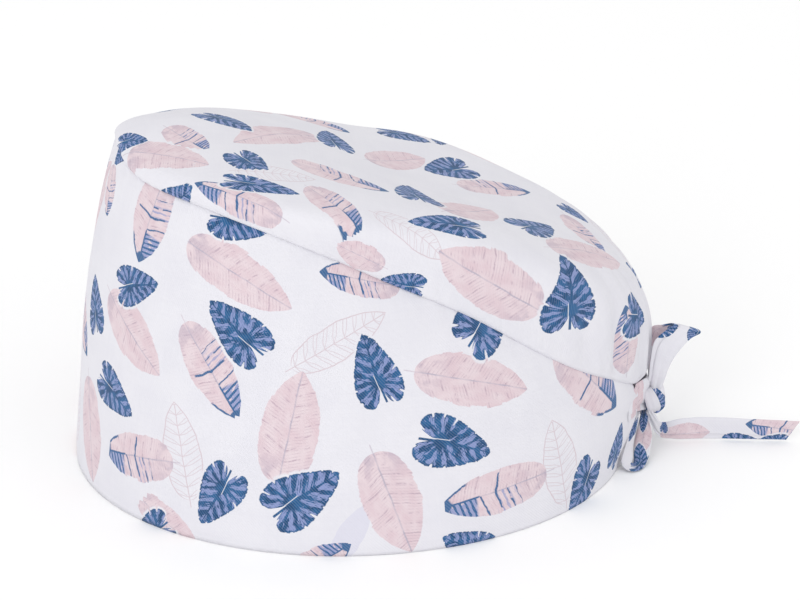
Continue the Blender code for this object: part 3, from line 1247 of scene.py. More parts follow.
@dataclass(frozen=True)
class DrawnLeaf:
    """The pale leaf drawn in thin lines, or the paler leaf that is only a shadow."""

    inks: Inks
    lean: float = 0.62
    vein_step: float = 0.21
    girth_share: float = 0.80
    wobble_scale: float = 2.8
    edge_wobble: float = 0.3
    edge_step: Step = (-0.004, 0.004)
    end_zone: Zone = (-0.99, 0.99, 0.01)
    margin_half: float = 0.011
    margin_soft: float = 0.006
    rib_wobble: float = 0.03
    rib_half: float = 0.009
    rib_soft: float = 0.005
    rib_zone: Zone = (-1.15, 0.96, 0.02)
    vein_wobble: float = 0.05
    vein_shift: float = 20.0
    spread_step: Step = (0.0, 0.16)
    spread: float = 0.16
    least_spread: float = 0.02
    vein_half: float = 0.042
    vein_soft: float = 0.025
    vein_share: float = 0.8
    line_share: float = 0.85
    ghost_share: float = 0.75

    def build(self) -> bpy.types.NodeTree:
        """Draw the leaf's lines, or its shadow.

        Returns:
            The group that gives the leaf's mask and colour.
        """
        g, (place,), give = new_group("drawn leaf", [("Place", VECTOR)],
                                      [("Mask", FLOAT), ("Colour", COLOUR)])
        x, y, code = g.parts(place)
        seed = g.math("FRACT", code) * SEED_SPREAD
        ghost = code > float(Leaf.GHOST.value)
        width = g.size(y)
        wobble = g.noise(g.vector(x, y, seed), self.wobble_scale) - 0.5
        girth = g.curve(x * 0.5 + 0.5, LongLeaf(self.inks).width) * self.girth_share
        edge = girth * (wobble * self.edge_wobble + 1.0) - width
        within = g.ramp(edge, *self.edge_step) * g.inside(x, *self.end_zone)
        margin = g.line(edge, 0.0, self.margin_half, self.margin_soft)
        rib = g.line(y, wobble * self.rib_wobble, self.rib_half, self.rib_soft)
        rib = rib * g.inside(x, *self.rib_zone)
        slant = (x - width * self.lean + wobble * self.vein_wobble) / self.vein_step
        place_in = g.size(g.math("FRACT", slant + self.vein_shift) - 0.5)
        spread = g.ramp(width, *self.spread_step) * self.spread + self.least_spread
        vein = g.line(place_in, spread, self.vein_half, self.vein_soft) * within
        lines = g.greater(g.greater(margin, rib), vein * self.vein_share)
        mask = g.choose(ghost, lines * self.line_share, within * self.ghost_share)
        colour = g.tint(ghost, self.inks.drawn_line, self.inks.ghost)
        return give(mask, colour)


@dataclass(frozen=True)
class LeafPrint:
    """The whole print: drawn leaves, then pink ones, then blue ones with a pale edge."""

    inks: Inks

    def build(self) -> bpy.types.NodeTree:
        """Lay the three layers of leaves over a ground colour.

        Returns:
            The group that gives the printed colour.
        """
        g, (ground, hearts, longs, lines), give = new_group(
            "leaf print",
            [("Ground", COLOUR), ("Hearts", VECTOR), ("Longs", VECTOR), ("Lines", VECTOR)],
            [("Colour", COLOUR)])
        drawn, drawn_colour = g.group(DrawnLeaf(self.inks).build(), lines)
        long, long_colour = g.group(LongLeaf(self.inks).build(), longs)
        heart, halo, heart_colour = g.group(HeartLeaf(self.inks).build(), hearts)
        colour = g.tint(drawn, ground, drawn_colour)
        colour = g.tint(long, colour, long_colour)
        colour = g.tint(halo, colour, ground)
        colour = g.tint(heart, colour, heart_colour)
        return give(colour)


@dataclass(frozen=True)
class Weave:
    """Fine cotton twill on a map in metres, with uneven threads both ways."""

    thread: float = 0.00042
    slub_length: float = 0.012
    slub_scale: float = 0.5
    cloud_scale: float = 60.0
    cloud_share: float = 0.65
    rib_step: float = 0.00115
    rib_sway: float = 2.0
    sway_scale: float = 220.0
    rib_crest: float = 1.5
    weave_height: float = 0.35
    slub_height: float = 0.5
    rib_height: float = 0.4
    seeds: tuple[float, float, float, float] = (0.0, 7.0, 3.0, 5.0)

    def build(self) -> bpy.types.NodeTree:
        """Weave the threads, their slubs, soft clouds and the twill's ribs.

        Returns:
            The group that gives the weave's height, its uneven tone and its ribs.
        """
        g, (flat,), give = new_group("cotton weave", [("Flat", VECTOR)],
                                     [("Height", FLOAT), ("Tone", FLOAT), ("Rib", FLOAT)])
        u, v, _ = g.parts(flat)
        across = g.math("SINE", u * (TWO_PI / self.thread))
        along = g.math("SINE", v * (TWO_PI / self.thread))
        weave = across * along
        warp_seed, weft_seed, cloud_seed, sway_seed = self.seeds
        warp = g.noise(g.vector(u / self.thread, v / self.slub_length, warp_seed),
                       self.slub_scale, 1.0)
        weft = g.noise(g.vector(u / self.slub_length, v / self.thread, weft_seed),
                       self.slub_scale, 1.0)
        slub = (warp + weft) * 0.5
        cloud = g.noise(g.vector(u, v, cloud_seed), self.cloud_scale, 3.0)
        tone = slub * (1.0 - self.cloud_share) + cloud * self.cloud_share
        sway = g.noise(g.vector(u, v, sway_seed), self.sway_scale, 1.0)
        rib = g.math("SINE", (u + v) * (TWO_PI / self.rib_step) + sway * self.rib_sway)
        rib = g.ramp(rib + slub, 0.0, self.rib_crest)
        height = weave * self.weave_height + slub * self.slub_height + rib * self.rib_height
        return give(height, tone, rib)


@dataclass(frozen=True)
class PrintedCotton:
    """White woven cotton with the leaf print on its right side."""

    name: str
    inks: Inks
    show: float = 1.0
    roughness: float = 0.82
    roughness_range: float = 0.08
    rough_step: Step = (0.2, 0.8)
    ground_step: Step = (0.35, 0.65)
    sheen: float = 0.12
    shine: float = 0.25
    bump_strength: float = 0.6
    bump_depth: float = 0.00010
    bare_thread: float = 0.08

    def build(self, leaf_print: bpy.types.NodeTree, weave: bpy.types.NodeTree,
              slot: str) -> bpy.types.Material:
        """Make the material.

        Args:
            leaf_print: the group that draws the print.
            weave: the group that gives the weave.
            slot: the record's slot that the material stands for.

        Returns:
            The material.
        """
        material = bpy.data.materials.new(self.name)
        material.use_nodes = True
        material["slot"] = slot
        g = Graph(material.node_tree)
        shader = material.node_tree.nodes["Principled BSDF"]
        flat = g.node("ShaderNodeUVMap", uv_map="cloth")
        height, tone, rib = g.group(weave, Value(g, flat.outputs[0]))
        ground = g.tint(g.ramp(tone, *self.ground_step), self.inks.cloth_shade,
                        self.inks.cloth)
        layers = [g.attribute(layer.value) for layer in Layer]
        inked, = g.group(leaf_print, ground, *layers)
        cover = (rib * -self.bare_thread + 1.0) * self.show
        colour = g.tint(cover, ground, inked)
        rough = g.ramp(tone, *self.rough_step) * self.roughness_range + self.roughness
        bump = g.node("ShaderNodeBump")
        bump.inputs["Strength"].default_value = self.bump_strength
        bump.inputs["Distance"].default_value = self.bump_depth
        g.put(height, bump.inputs["Height"])
        g.put(colour, shader.inputs["Base Color"])
        g.put(rough, shader.inputs["Roughness"])
        g.put(Value(g, bump.outputs[0]), shader.inputs["Normal"])
        shader.inputs["Sheen Weight"].default_value = self.sheen
        shader.inputs["Specular IOR Level"].default_value = self.shine
        return material


@dataclass(frozen=True)
class Wardrobe:
    """The finished cloths: the cap's right side and wrong side, and the ties'."""

    right: bpy.types.Material
    wrong: bpy.types.Material
    tie: bpy.types.Material

    @classmethod
    def stock(cls) -> "Wardrobe":
        """Make both sides of the cap's cloth and the cloth of the ties.

        Returns:
            The cloths.
        """
        inks = Inks()
        leaf_print = LeafPrint(inks).build()
        weave = Weave().build()
        right = PrintedCotton("printed_cotton", inks).build(leaf_print, weave, "cap_cloth")
        wrong = PrintedCotton("printed_cotton_back", inks, show=SHOW_THROUGH).build(
            leaf_print, weave, "cap_cloth")
        tie = PrintedCotton("printed_cotton_tie", inks).build(leaf_print, weave, "tie_cloth")
        return cls(right, wrong, tie)


@dataclass(frozen=True)
class SheetMesh:
    """A cloth sheet bent from a flat grid, with a wall of its thickness."""

    name: str
    columns: int
    rows: int
    thickness: float
    offset: float
    merge: float = 1e-6
    least_edge: float = 1e-7

    def build(self, place: Place, flat: Flat, stamps: Sequence[Stamp],
              wardrobe: Wardrobe) -> bpy.types.Object:
        """Make the piece.

        Args:
            place: gives the point of a column and row.
            flat: gives the point's place on the flat cloth, in metres.
            stamps: the leaves printed on it.
            wardrobe: the cloths.

        Returns:
            The piece.
        """
        shape = bmesh.new()
        bmesh.ops.create_grid(shape, x_segments=self.columns, y_segments=self.rows, size=0.5)
        layer = shape.loops.layers.uv.new("cloth")
        cells = {}
        for vert in shape.verts:
            cells[vert] = (round((vert.co.x + 0.5) * self.columns),
                           round((vert.co.y + 0.5) * self.rows))
        for face in shape.faces:
            for loop in face.loops:
                loop[layer].uv = flat(*cells[loop.vert])
        for vert, cell in cells.items():
            vert.co = place(*cell)
        bmesh.ops.remove_doubles(shape, verts=shape.verts, dist=self.merge)
        bmesh.ops.dissolve_degenerate(shape, edges=shape.edges, dist=self.least_edge)
        mesh = take_mesh(shape, self.name)
        mesh.materials.append(wardrobe.right)
        mesh.materials.append(wardrobe.wrong)
        mesh.shade_smooth()
        print_cloth(mesh, stamps)
        piece = add_object(self.name, mesh)
        wall = piece.modifiers.new("cloth", "SOLIDIFY")
        wall.thickness = self.thickness
        wall.offset = self.offset
        wall.material_offset = 1
        wall.use_even_offset = False
        return piece


@dataclass(frozen=True)
class SideBand:
    """The tall wall of the cap, open at the back, with its seam turned in at the top."""

    form: CapForm
    cloth: float = 0.0008
    columns: int = 330
    rows: int = 62
    turn_in: float = 0.0011
    turn_rows: int = 2
    turn_rise: float = 0.0001
    floor_gap: float = 0.0001
    wave_depth: float = 0.0005
    wave_scale: float = 22.0
    fine_wave_scale: float = 55.0
    fine_wave_share: float = 0.35
    wave_seed: float = 3.1
    hem_calm: float = 0.012
    pucker_depth: float = 0.00035
    pucker_reach: float = 0.007
    pucker_pace: float = 0.9
    fine_pucker_pace: float = 2.3
    pucker_seed: float = 4.7
    tie_fold_depth: float = 0.0017
    tie_fold_reach: float = 0.020
    tie_fold_height: float = 0.020
    tie_fold_calm: float = 0.010
    tie_fold_count: float = 7.0
    tie_fold_turn: float = 1.3
    flat_size: tuple[float, float] = (0.612, 0.127)
    flat_share: float = 0.62
    flat_radius: float = 0.095
    angle_step: float = 1.0
    height_step: float = 0.002
    far_print_turn: float = 9.0
    far_print_end: float = 168.0
    far_print_drop: float = 4.0
    far_leaf_turn: float = 195.0

    def angles(self) -> tuple[float, float]:
        """Return the angles of the band's two ends."""
        half_slot = math.degrees(0.5 * self.form.back_slot / self.form.back_reach)
        return self.form.back_angle - FULL_TURN + half_slot, self.form.back_angle - half_slot

    def relief(self, angle: float, height: float) -> float:
        """Return how far the cloth stands out, by its waves, puckers and tie folds.

        Args:
            angle: degrees round the cap.
            height: the height over the ground.

        Returns:
            The distance, less than 0 where the cloth lies in.
        """
        top = self.form.seam_height(angle)
        point = self.form.wall_point(angle, height)
        wave = soft_wave(point, self.wave_scale, self.fine_wave_scale,
                         self.fine_wave_share, LEVEL * self.wave_seed)
        rise = fade_in(height, self.hem_calm)
        depth = self.wave_depth * wave * rise
        pucker = puckers(angle, self.pucker_pace, self.fine_pucker_pace, self.pucker_seed)
        depth += self.pucker_depth * pucker * math.exp(-(top - height) / self.pucker_reach)
        away = signed_turn(angle - self.form.back_angle)
        across = math.radians(abs(away)) * self.form.half_width
        lift = height - self.tie_fold_height
        reach = math.hypot(across, lift)
        fan = math.atan2(lift, across)
        turn = self.tie_fold_turn * math.copysign(1.0, away)
        fold = math.sin(fan * self.tie_fold_count + turn)
        fade = math.exp(-reach / self.tie_fold_reach) * fade_in(reach, self.tie_fold_calm)
        return depth + self.tie_fold_depth * fold * fade * rise

    def stamps(self) -> list[Stamp]:
        """Place the leaves of the print on the wall.

        Returns:
            The placed leaves.
        """
        form = self.form
        stamps = []
        for index, spot in enumerate(BAND_PRINT + self.far_print() + FRONT_PRINT):
            height = spot.up / MM_PER_M
            foot = max(0.0, height)
            lower = form.wall_point(spot.angle, foot)
            here = lower.copy()
            here.z = height
            level = form.wall_point(spot.angle + self.angle_step, foot) - here
            level.z = 0.0
            level.normalize()
            higher = form.wall_point(spot.angle, foot + self.height_step)
            rise = (higher - lower).normalized()
            stamps.append(stamp_on(spot.leaf, here, level, rise, spot.turn,
                                   spot.size / MM_PER_M, seed_of(index), spot.plump))
        return stamps

    def build(self, wardrobe: Wardrobe) -> bpy.types.Object:
        """Make the band, print it and stand it in for its solid.

        Args:
            wardrobe: the cloths.

        Returns:
            The piece.
        """
        start, end = self.angles()
        form = self.form

        def cell(column: int, row: int) -> tuple[float, float]:
            """Return the angle and height of a column and row."""
            angle = start + (end - start) * column / self.columns
            share = min(1.0, row / (self.rows - self.turn_rows))
            return angle, share * form.seam_height(angle)

        def place(column: int, row: int) -> Vector:
            """Bend the sheet to the cap, with the seam's edge turned in.

            Args:
                column: the column.
                row: the row.

            Returns:
                The cloth's point.
            """
            angle, height = cell(column, row)
            point = form.wall_point(angle, height)
            away = form.outward(angle)
            point += away * self.relief(angle, height)
            inward = max(0, row - (self.rows - self.turn_rows))
            if row >= self.rows - self.turn_rows:
                point -= away * self.turn_in * inward / self.turn_rows
                point.z += self.turn_rise * inward
            point.z = max(point.z, self.floor_gap)
            return point

        def flat(column: int, row: int) -> tuple[float, float]:
            """Return the point's place on the flat cloth."""
            angle, height = cell(column, row)
            return math.radians(angle) * self.flat_radius, height

        sheet = SheetMesh("band_cloth", self.columns, self.rows, self.cloth, -1.0)
        piece = sheet.build(place, flat, self.stamps(), wardrobe)
        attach(piece, BODY)
        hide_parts("side_band")
        width, length = self.flat_size
        return piece

    def far_print(self) -> tuple[Spot, ...]:
        """Repeat the near side's leaves in a new place.

        Returns:
            The leaves of the far side.
        """
        spots = []
        for spot in BAND_PRINT:
            angle = -spot.angle - self.far_print_turn
            if abs(signed_turn(angle)) < self.far_print_end:
                spots.append(spot._replace(angle=angle, up=spot.up - self.far_print_drop,
                                           turn=self.far_leaf_turn - spot.turn))
        return tuple(spots)


@dataclass(frozen=True)
class Crown:
    """The oval top, puffed out over the seam and gathered above the bow."""

    form: CapForm
    cloth: float = 0.0007
    columns: int = 420
    rows: int = 56
    crowding: float = 1.30
    turn_in: float = 0.0010
    lift: float = 0.0002
    wave_depth: float = 0.0009
    wave_scale: float = 19.0
    fine_wave_scale: float = 47.0
    fine_wave_share: float = 0.3
    wave_seed: float = 5.0
    wave_rate: float = 6.0
    top_calm: float = 0.4
    pucker_depth: float = 0.00045
    pucker_fade: float = 0.06
    pucker_start: float = 0.01
    pucker_pace: float = 0.8
    fine_pucker_pace: float = 2.1
    pucker_seed: float = 14.7
    pleat_depth: float = 0.0030
    pleat_fade: float = 0.30
    pleat_start: float = 0.03
    pleat_drift: float = 0.55
    bunch_depth: float = 0.0036
    bunch_half: float = 17.0
    bunch_fade: float = 0.16
    bunch_start: float = 0.02
    gather_depth: float = 0.0011
    gather_period: float = 4.3
    gather_half: float = 27.0
    gather_fade: float = 0.11
    gather_start: float = 0.012
    gather_spread: float = 0.8
    gather_sway: float = 0.55
    gather_seed: tuple[float, float, float] = (0.22, 5.0, 3.0)
    gather_usual: float = 0.7
    gather_change: float = 0.6
    shoulder_depth: float = 0.0026
    shoulder_share: float = 0.24
    shoulder_half: float = 0.12
    shoulder_power: float = 1.3
    shoulder_out: float = 0.82
    shoulder_up: float = 0.57
    arc_steps: int = 40
    flat_size: tuple[float, float] = (0.180, 0.260)
    flat_share: float = 0.70
    print_top: float = 0.96
    print_drop: float = 0.5
    print_seed: int = 50
    angle_step: float = 1.0
    share_step: float = 0.01
    pleats: tuple[tuple[float, float, float], ...] = (
        (-36.0, 0.25, 4.0), (-27.0, 0.50, 3.4), (-17.0, 0.85, 2.8), (-11.5, 0.45, 1.8),
        (-6.5, 1.00, 2.4), (-1.5, 0.60, 1.6), (3.5, 0.95, 2.2), (8.0, 0.55, 1.8),
        (13.0, 1.00, 2.8), (19.0, 0.50, 2.2), (25.0, 0.45, 3.4), (34.0, 0.20, 4.0),
    )

    def relief(self, angle: float, share: float) -> float:
        """Return how far the cloth stands out, by its waves, puckers and gathers.

        Args:
            angle: degrees round the cap.
            share: 0 at the seam and 1 at the top.

        Returns:
            The distance, less than 0 where the cloth lies in.
        """
        point = self.form.crown_point(angle, share)
        calm = share * (1.0 - self.top_calm * share)
        wave = soft_wave(point, self.wave_scale, self.fine_wave_scale,
                         self.fine_wave_share, ASIDE * self.wave_seed)
        depth = self.wave_depth * wave * min(1.0, calm * self.wave_rate)
        pucker = puckers(angle, self.pucker_pace, self.fine_pucker_pace, self.pucker_seed)
        pucker *= math.exp(-share / self.pucker_fade) * fade_in(share, self.pucker_start)
        return depth + self.pucker_depth * pucker + self.gathers(angle, share)

    def gathers(self, angle: float, share: float) -> float:
        """Return how far the cloth stands out by its pleats and gathers over the bow.

        Args:
            angle: degrees round the cap.
            share: 0 at the seam and 1 at the top.

        Returns:
            The distance, less than 0 where the cloth lies in.
        """
        depth = 0.0
        fade = bell(share, self.pleat_fade) * fade_in(share, self.pleat_start)
        for where, weight, half in self.pleats:
            drift = where * (1.0 + self.pleat_drift * share)
            offset = signed_turn(angle - self.form.back_angle - drift)
            depth -= self.pleat_depth * weight * bell(offset, half) * fade
        behind = signed_turn(angle - HALF_TURN)
        pace, climb, seed = self.gather_seed
        drift = noise.noise(Vector((behind * pace, share * climb, seed)))
        spread = behind / (1.0 + self.gather_spread * share)
        gather = math.cos(TWO_PI * (spread / self.gather_period + self.gather_sway * drift))
        gather *= self.gather_usual + self.gather_change * drift
        gather *= math.exp(-(behind / self.gather_half) ** 4)
        gather *= math.exp(-share / self.gather_fade) * fade_in(share, self.gather_start)
        bunch = bell(behind, self.bunch_half) * bell(share, self.bunch_fade)
        bunch *= fade_in(share, self.bunch_start)
        return depth + self.gather_depth * gather + self.bunch_depth * bunch

    def surface(self, angle: float, share: float) -> Vector:
        """Return a point of the shown crown, squarer on its near shoulder.

        Args:
            angle: degrees round the cap.
            share: 0 at the seam and 1 at the top.

        Returns:
            The point.
        """
        away = self.form.outward(angle)
        near = max(0.0, math.sin(math.radians(angle))) ** self.shoulder_power
        bend = bell(share - self.shoulder_share, self.shoulder_half)
        push = (away * self.shoulder_out + UP * self.shoulder_up) * self.shoulder_depth
        return self.form.crown_point(angle, share) + push * near * bend

    def column_angle(self, column: int) -> float:
        """Return the angle of a column, where the last one meets the first."""
        share = (column % self.columns) / self.columns
        return self.form.back_angle - FULL_TURN + FULL_TURN * share

    def arc(self, column: int) -> tuple[list[float], float]:
        """Measure the smooth crown from its top down to the seam.

        Args:
            column: the column.

        Returns:
            The lengths from the top to each step, the seam's first, and the level
            direction of the column from the top.
        """
        angle = self.column_angle(column)
        line = [self.form.crown_point(angle, step / self.arc_steps)
                for step in range(self.arc_steps + 1)]
        lengths = [0.0]
        for before, after in zip(reversed(line[1:]), reversed(line[:-1])):
            lengths.append(lengths[-1] + (after - before).length)
        way = line[0] - line[-1]
        return lengths[::-1], math.atan2(way.y, way.x)

    def stamps(self) -> list[Stamp]:
        """Place the leaves of the print on the crown.

        Returns:
            The placed leaves.
        """
        stamps = []
        for index, spot in enumerate(CROWN_PRINT):
            share = max(0.0, min(self.print_top, spot.up))
            here = self.surface(spot.angle, share)
            beside = self.surface(spot.angle + self.angle_step, share)
            level = (beside - here).normalized()
            higher = self.surface(spot.angle, share + self.share_step)
            out = level.cross(higher - here).normalized()
            rise = out.cross(level)
            here += rise * min(0.0, spot.up) * self.print_drop
            stamps.append(stamp_on(spot.leaf, here, level, rise, spot.turn,
                                   spot.size / MM_PER_M,
                                   seed_of(index + self.print_seed), spot.plump))
        return stamps

    def build(self, wardrobe: Wardrobe) -> bpy.types.Object:
        """Make the crown, print it and stand it in for its solid.

        Args:
            wardrobe: the cloths.

        Returns:
            The piece.
        """
        form = self.form
        arcs = [self.arc(column) for column in range(self.columns)]

        def cell(column: int, row: int) -> tuple[float, float]:
            """Return the angle and share of a column and row."""
            share = max(0.0, (row - 1) / (self.rows - 1)) ** self.crowding
            return self.column_angle(column), share

        def place(column: int, row: int) -> Vector:
            """Bend the sheet to the cap, with the seam's edge turned in.

            Args:
                column: the column.
                row: the row.

            Returns:
                The cloth's point.
            """
            angle, share = cell(column, row)
            point = self.surface(angle, share)
            away = form.outward(angle)
            if row == 0:
                return point - away * self.turn_in
            out = (away * (1.0 - share) + UP * share).normalized()
            return point + out * (self.relief(angle, share) + self.lift)

        def flat(column: int, row: int) -> tuple[float, float]:
            """Lay the crown's cloth flat.

            Args:
                column: the column.
                row: the row.

            Returns:
                The point's place, in metres.
            """
            lengths, turn = arcs[column % self.columns]
            spot = cell(column, row)[1] * self.arc_steps
            low = min(self.arc_steps - 1, int(spot))
            reach = lengths[low] + (lengths[low + 1] - lengths[low]) * (spot - low)
            return reach * math.cos(turn), reach * math.sin(turn)

        sheet = SheetMesh("crown_cloth", self.columns, self.rows, self.cloth, 1.0)
        piece = sheet.build(place, flat, self.stamps(), wardrobe)
        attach(piece, BODY)
        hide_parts("crown")
        width, length = self.flat_size
        return piece


class Rung(NamedTuple):
    """A step of a tie's route: the places of its two edges, in mm from the knot's middle."""

    edge: Point
    fold: Point


class Patch(NamedTuple):
    """A leaf on a tie's flat cloth: how far along and across it lies, its turn and size."""

    leaf: Leaf
    along: float
    across: float
    turn: float
    size: float


UPPER_LOOP = (
    Rung((-2.3, -1.6, 4.4), (3.6, -1.6, 4.2)),
    Rung((-2, -3.2, 10.5), (4.2, -3.2, 9)),
    Rung((-1.7, -3.8, 17.5), (5.4, -3.8, 14)),
    Rung((-0.6, -3.8, 24.5), (8.2, -3.8, 19.5)),
    Rung((3.4, -3, 28.3), (12.6, -3, 24.4)),
    Rung((6.9, -1.2, 29.9), (17, -1.2, 26.1)),
    Rung((6.3, 0.9, 29.6), (15.6, 1, 26.4)),
    Rung((3.6, 2.3, 28.5), (12, 2.4, 24)),
    Rung((-0.8, 3.2, 26.6), (7.4, 3.2, 19)),
    Rung((-1.2, 2.8, 16), (5, 2.8, 11.5)),
    Rung((-1.2, 1.6, 4.4), (3.8, 1.6, 4.2)),
)
HANGING_LOOP = (
    Rung((-3.8, -0.8, -5), (-1.2, -1.9, -4.2)),
    Rung((-5.7, -5.4, -8.5), (-1.2, -6.6, -7.8)),
    Rung((-7.4, -9.8, -11.3), (-1.2, -10.5, -10.3)),
    Rung((-8.7, -14.4, -14.2), (-2.6, -15.6, -13.5)),
    Rung((-9, -17.5, -16.2), (-4.1, -19, -15.8)),
    Rung((-9.6, -19.6, -16.8), (-6.6, -23, -17.2)),
    Rung((-10.3, -20.6, -16.4), (-10.5, -25.5, -17.2)),
    Rung((-10.3, -20.8, -15.8), (-13.6, -24.6, -16.4)),
    Rung((-9.8, -19.6, -14.6), (-14.6, -22.6, -14.4)),
    Rung((-9.4, -16.6, -12.6), (-13.3, -19.3, -12)),
    Rung((-8.1, -12.3, -10), (-11.1, -14.3, -8.8)),
    Rung((-6.8, -9, -8), (-9.9, -11, -6.6)),
    Rung((-4.7, -3.6, -4.2), (-8.4, -6, -3.2)),
)
NEAR_TAIL = (
    Rung((-2.5, -3.4, -4.1), (-0.7, -3.6, -2.6)),
    Rung((-0.3, -3, -9.6), (1.8, -3, -6.8)),
    Rung((2, -1.5, -14.2), (3.3, -1.5, -9.4)),
    Rung((4.8, 0.3, -17.1), (5.3, 0.3, -10.7)),
    Rung((7.7, -0.2, -17.3), (7.3, -0.4, -10)),
    Rung((11.4, -0.8, -17.4), (11, -0.6, -9.1)),
    Rung((18.9, -1.1, -17.4), (18.4, -0.8, -8.6)),
    Rung((28.2, -2, -17.4), (27.7, -1.8, -8.7)),
    Rung((37.4, -3.2, -17.4), (36.9, -3.1, -9)),
    Rung((45.6, -4.2, -17.4), (46.8, -4.2, -9.4)),
    Rung((50.6, -4.9, -17.4), (55.4, -4.9, -9.9)),
)
KNOT_WRAP = (
    Rung((-3.2, -0.2, 4.6), (-1.2, -1, 5.2)),
    Rung((-3.6, -3.2, 4.4), (-0.4, -3.8, 5)),
    Rung((-3.4, -4.6, 1.8), (1, -5, 3)),
    Rung((-2.8, -4.9, -1), (2.2, -5, 0.2)),
    Rung((-2, -4.2, -3.2), (2.8, -4.2, -2)),
    Rung((-1.2, -2.4, -4.8), (2.4, -2.6, -4)),
    Rung((-0.6, -0.2, -5.2), (1.8, -0.4, -4.8)),
)
UPPER_PRINT = (
    Patch(H, 28.5, 7.6, 160, 6),
    Patch(H, 25, -2, 4, 9),
    Patch(H, 33, 15.2, 176, 9),
    Patch(H, 31.5, 12.8, 100, 5.5),
    Patch(P, 39, 14.4, 6, 8.5),
    Patch(P, 54, 12, 8, 8),
)
HANGING_PRINT = (
    Patch(H, 21.5, 4, 20, 9.5),
    Patch(H, 24, 12, 170, 10),
    Patch(H, 2, 4.5, 0, 7),
    Patch(H, 2.5, 12.5, 0, 7),
    Patch(P, 12, 12, 4, 9),
    Patch(H, 46.5, 12.5, 200, 8),
)
NEAR_TAIL_PRINT = (
    Patch(S, 57, 4.8, 174, 13),
    Patch(P, 21.5, 2.2, 3, 9.5),
    Patch(H, 13, 5, 90, 4.8),
    Patch(H, 41, -3, 2, 11.5),
    Patch(H, 57, -3.2, 178, 12),
)
NEAR_ROOT_PRINT = (Patch(P, 9.0, 5.0, 80.0, 13.0),)
FAR_ROOT_PRINT = (Patch(H, 8.0, 4.0, 20.0, 9.0),)
FAR_TAIL_PRINT = (
    Patch(H, 18, 3, 12, 13),
    Patch(P, 34, 4, 160, 12),
)
ROOT_WIDTH = 0.0120
ROOT_GATHER = 0.0004


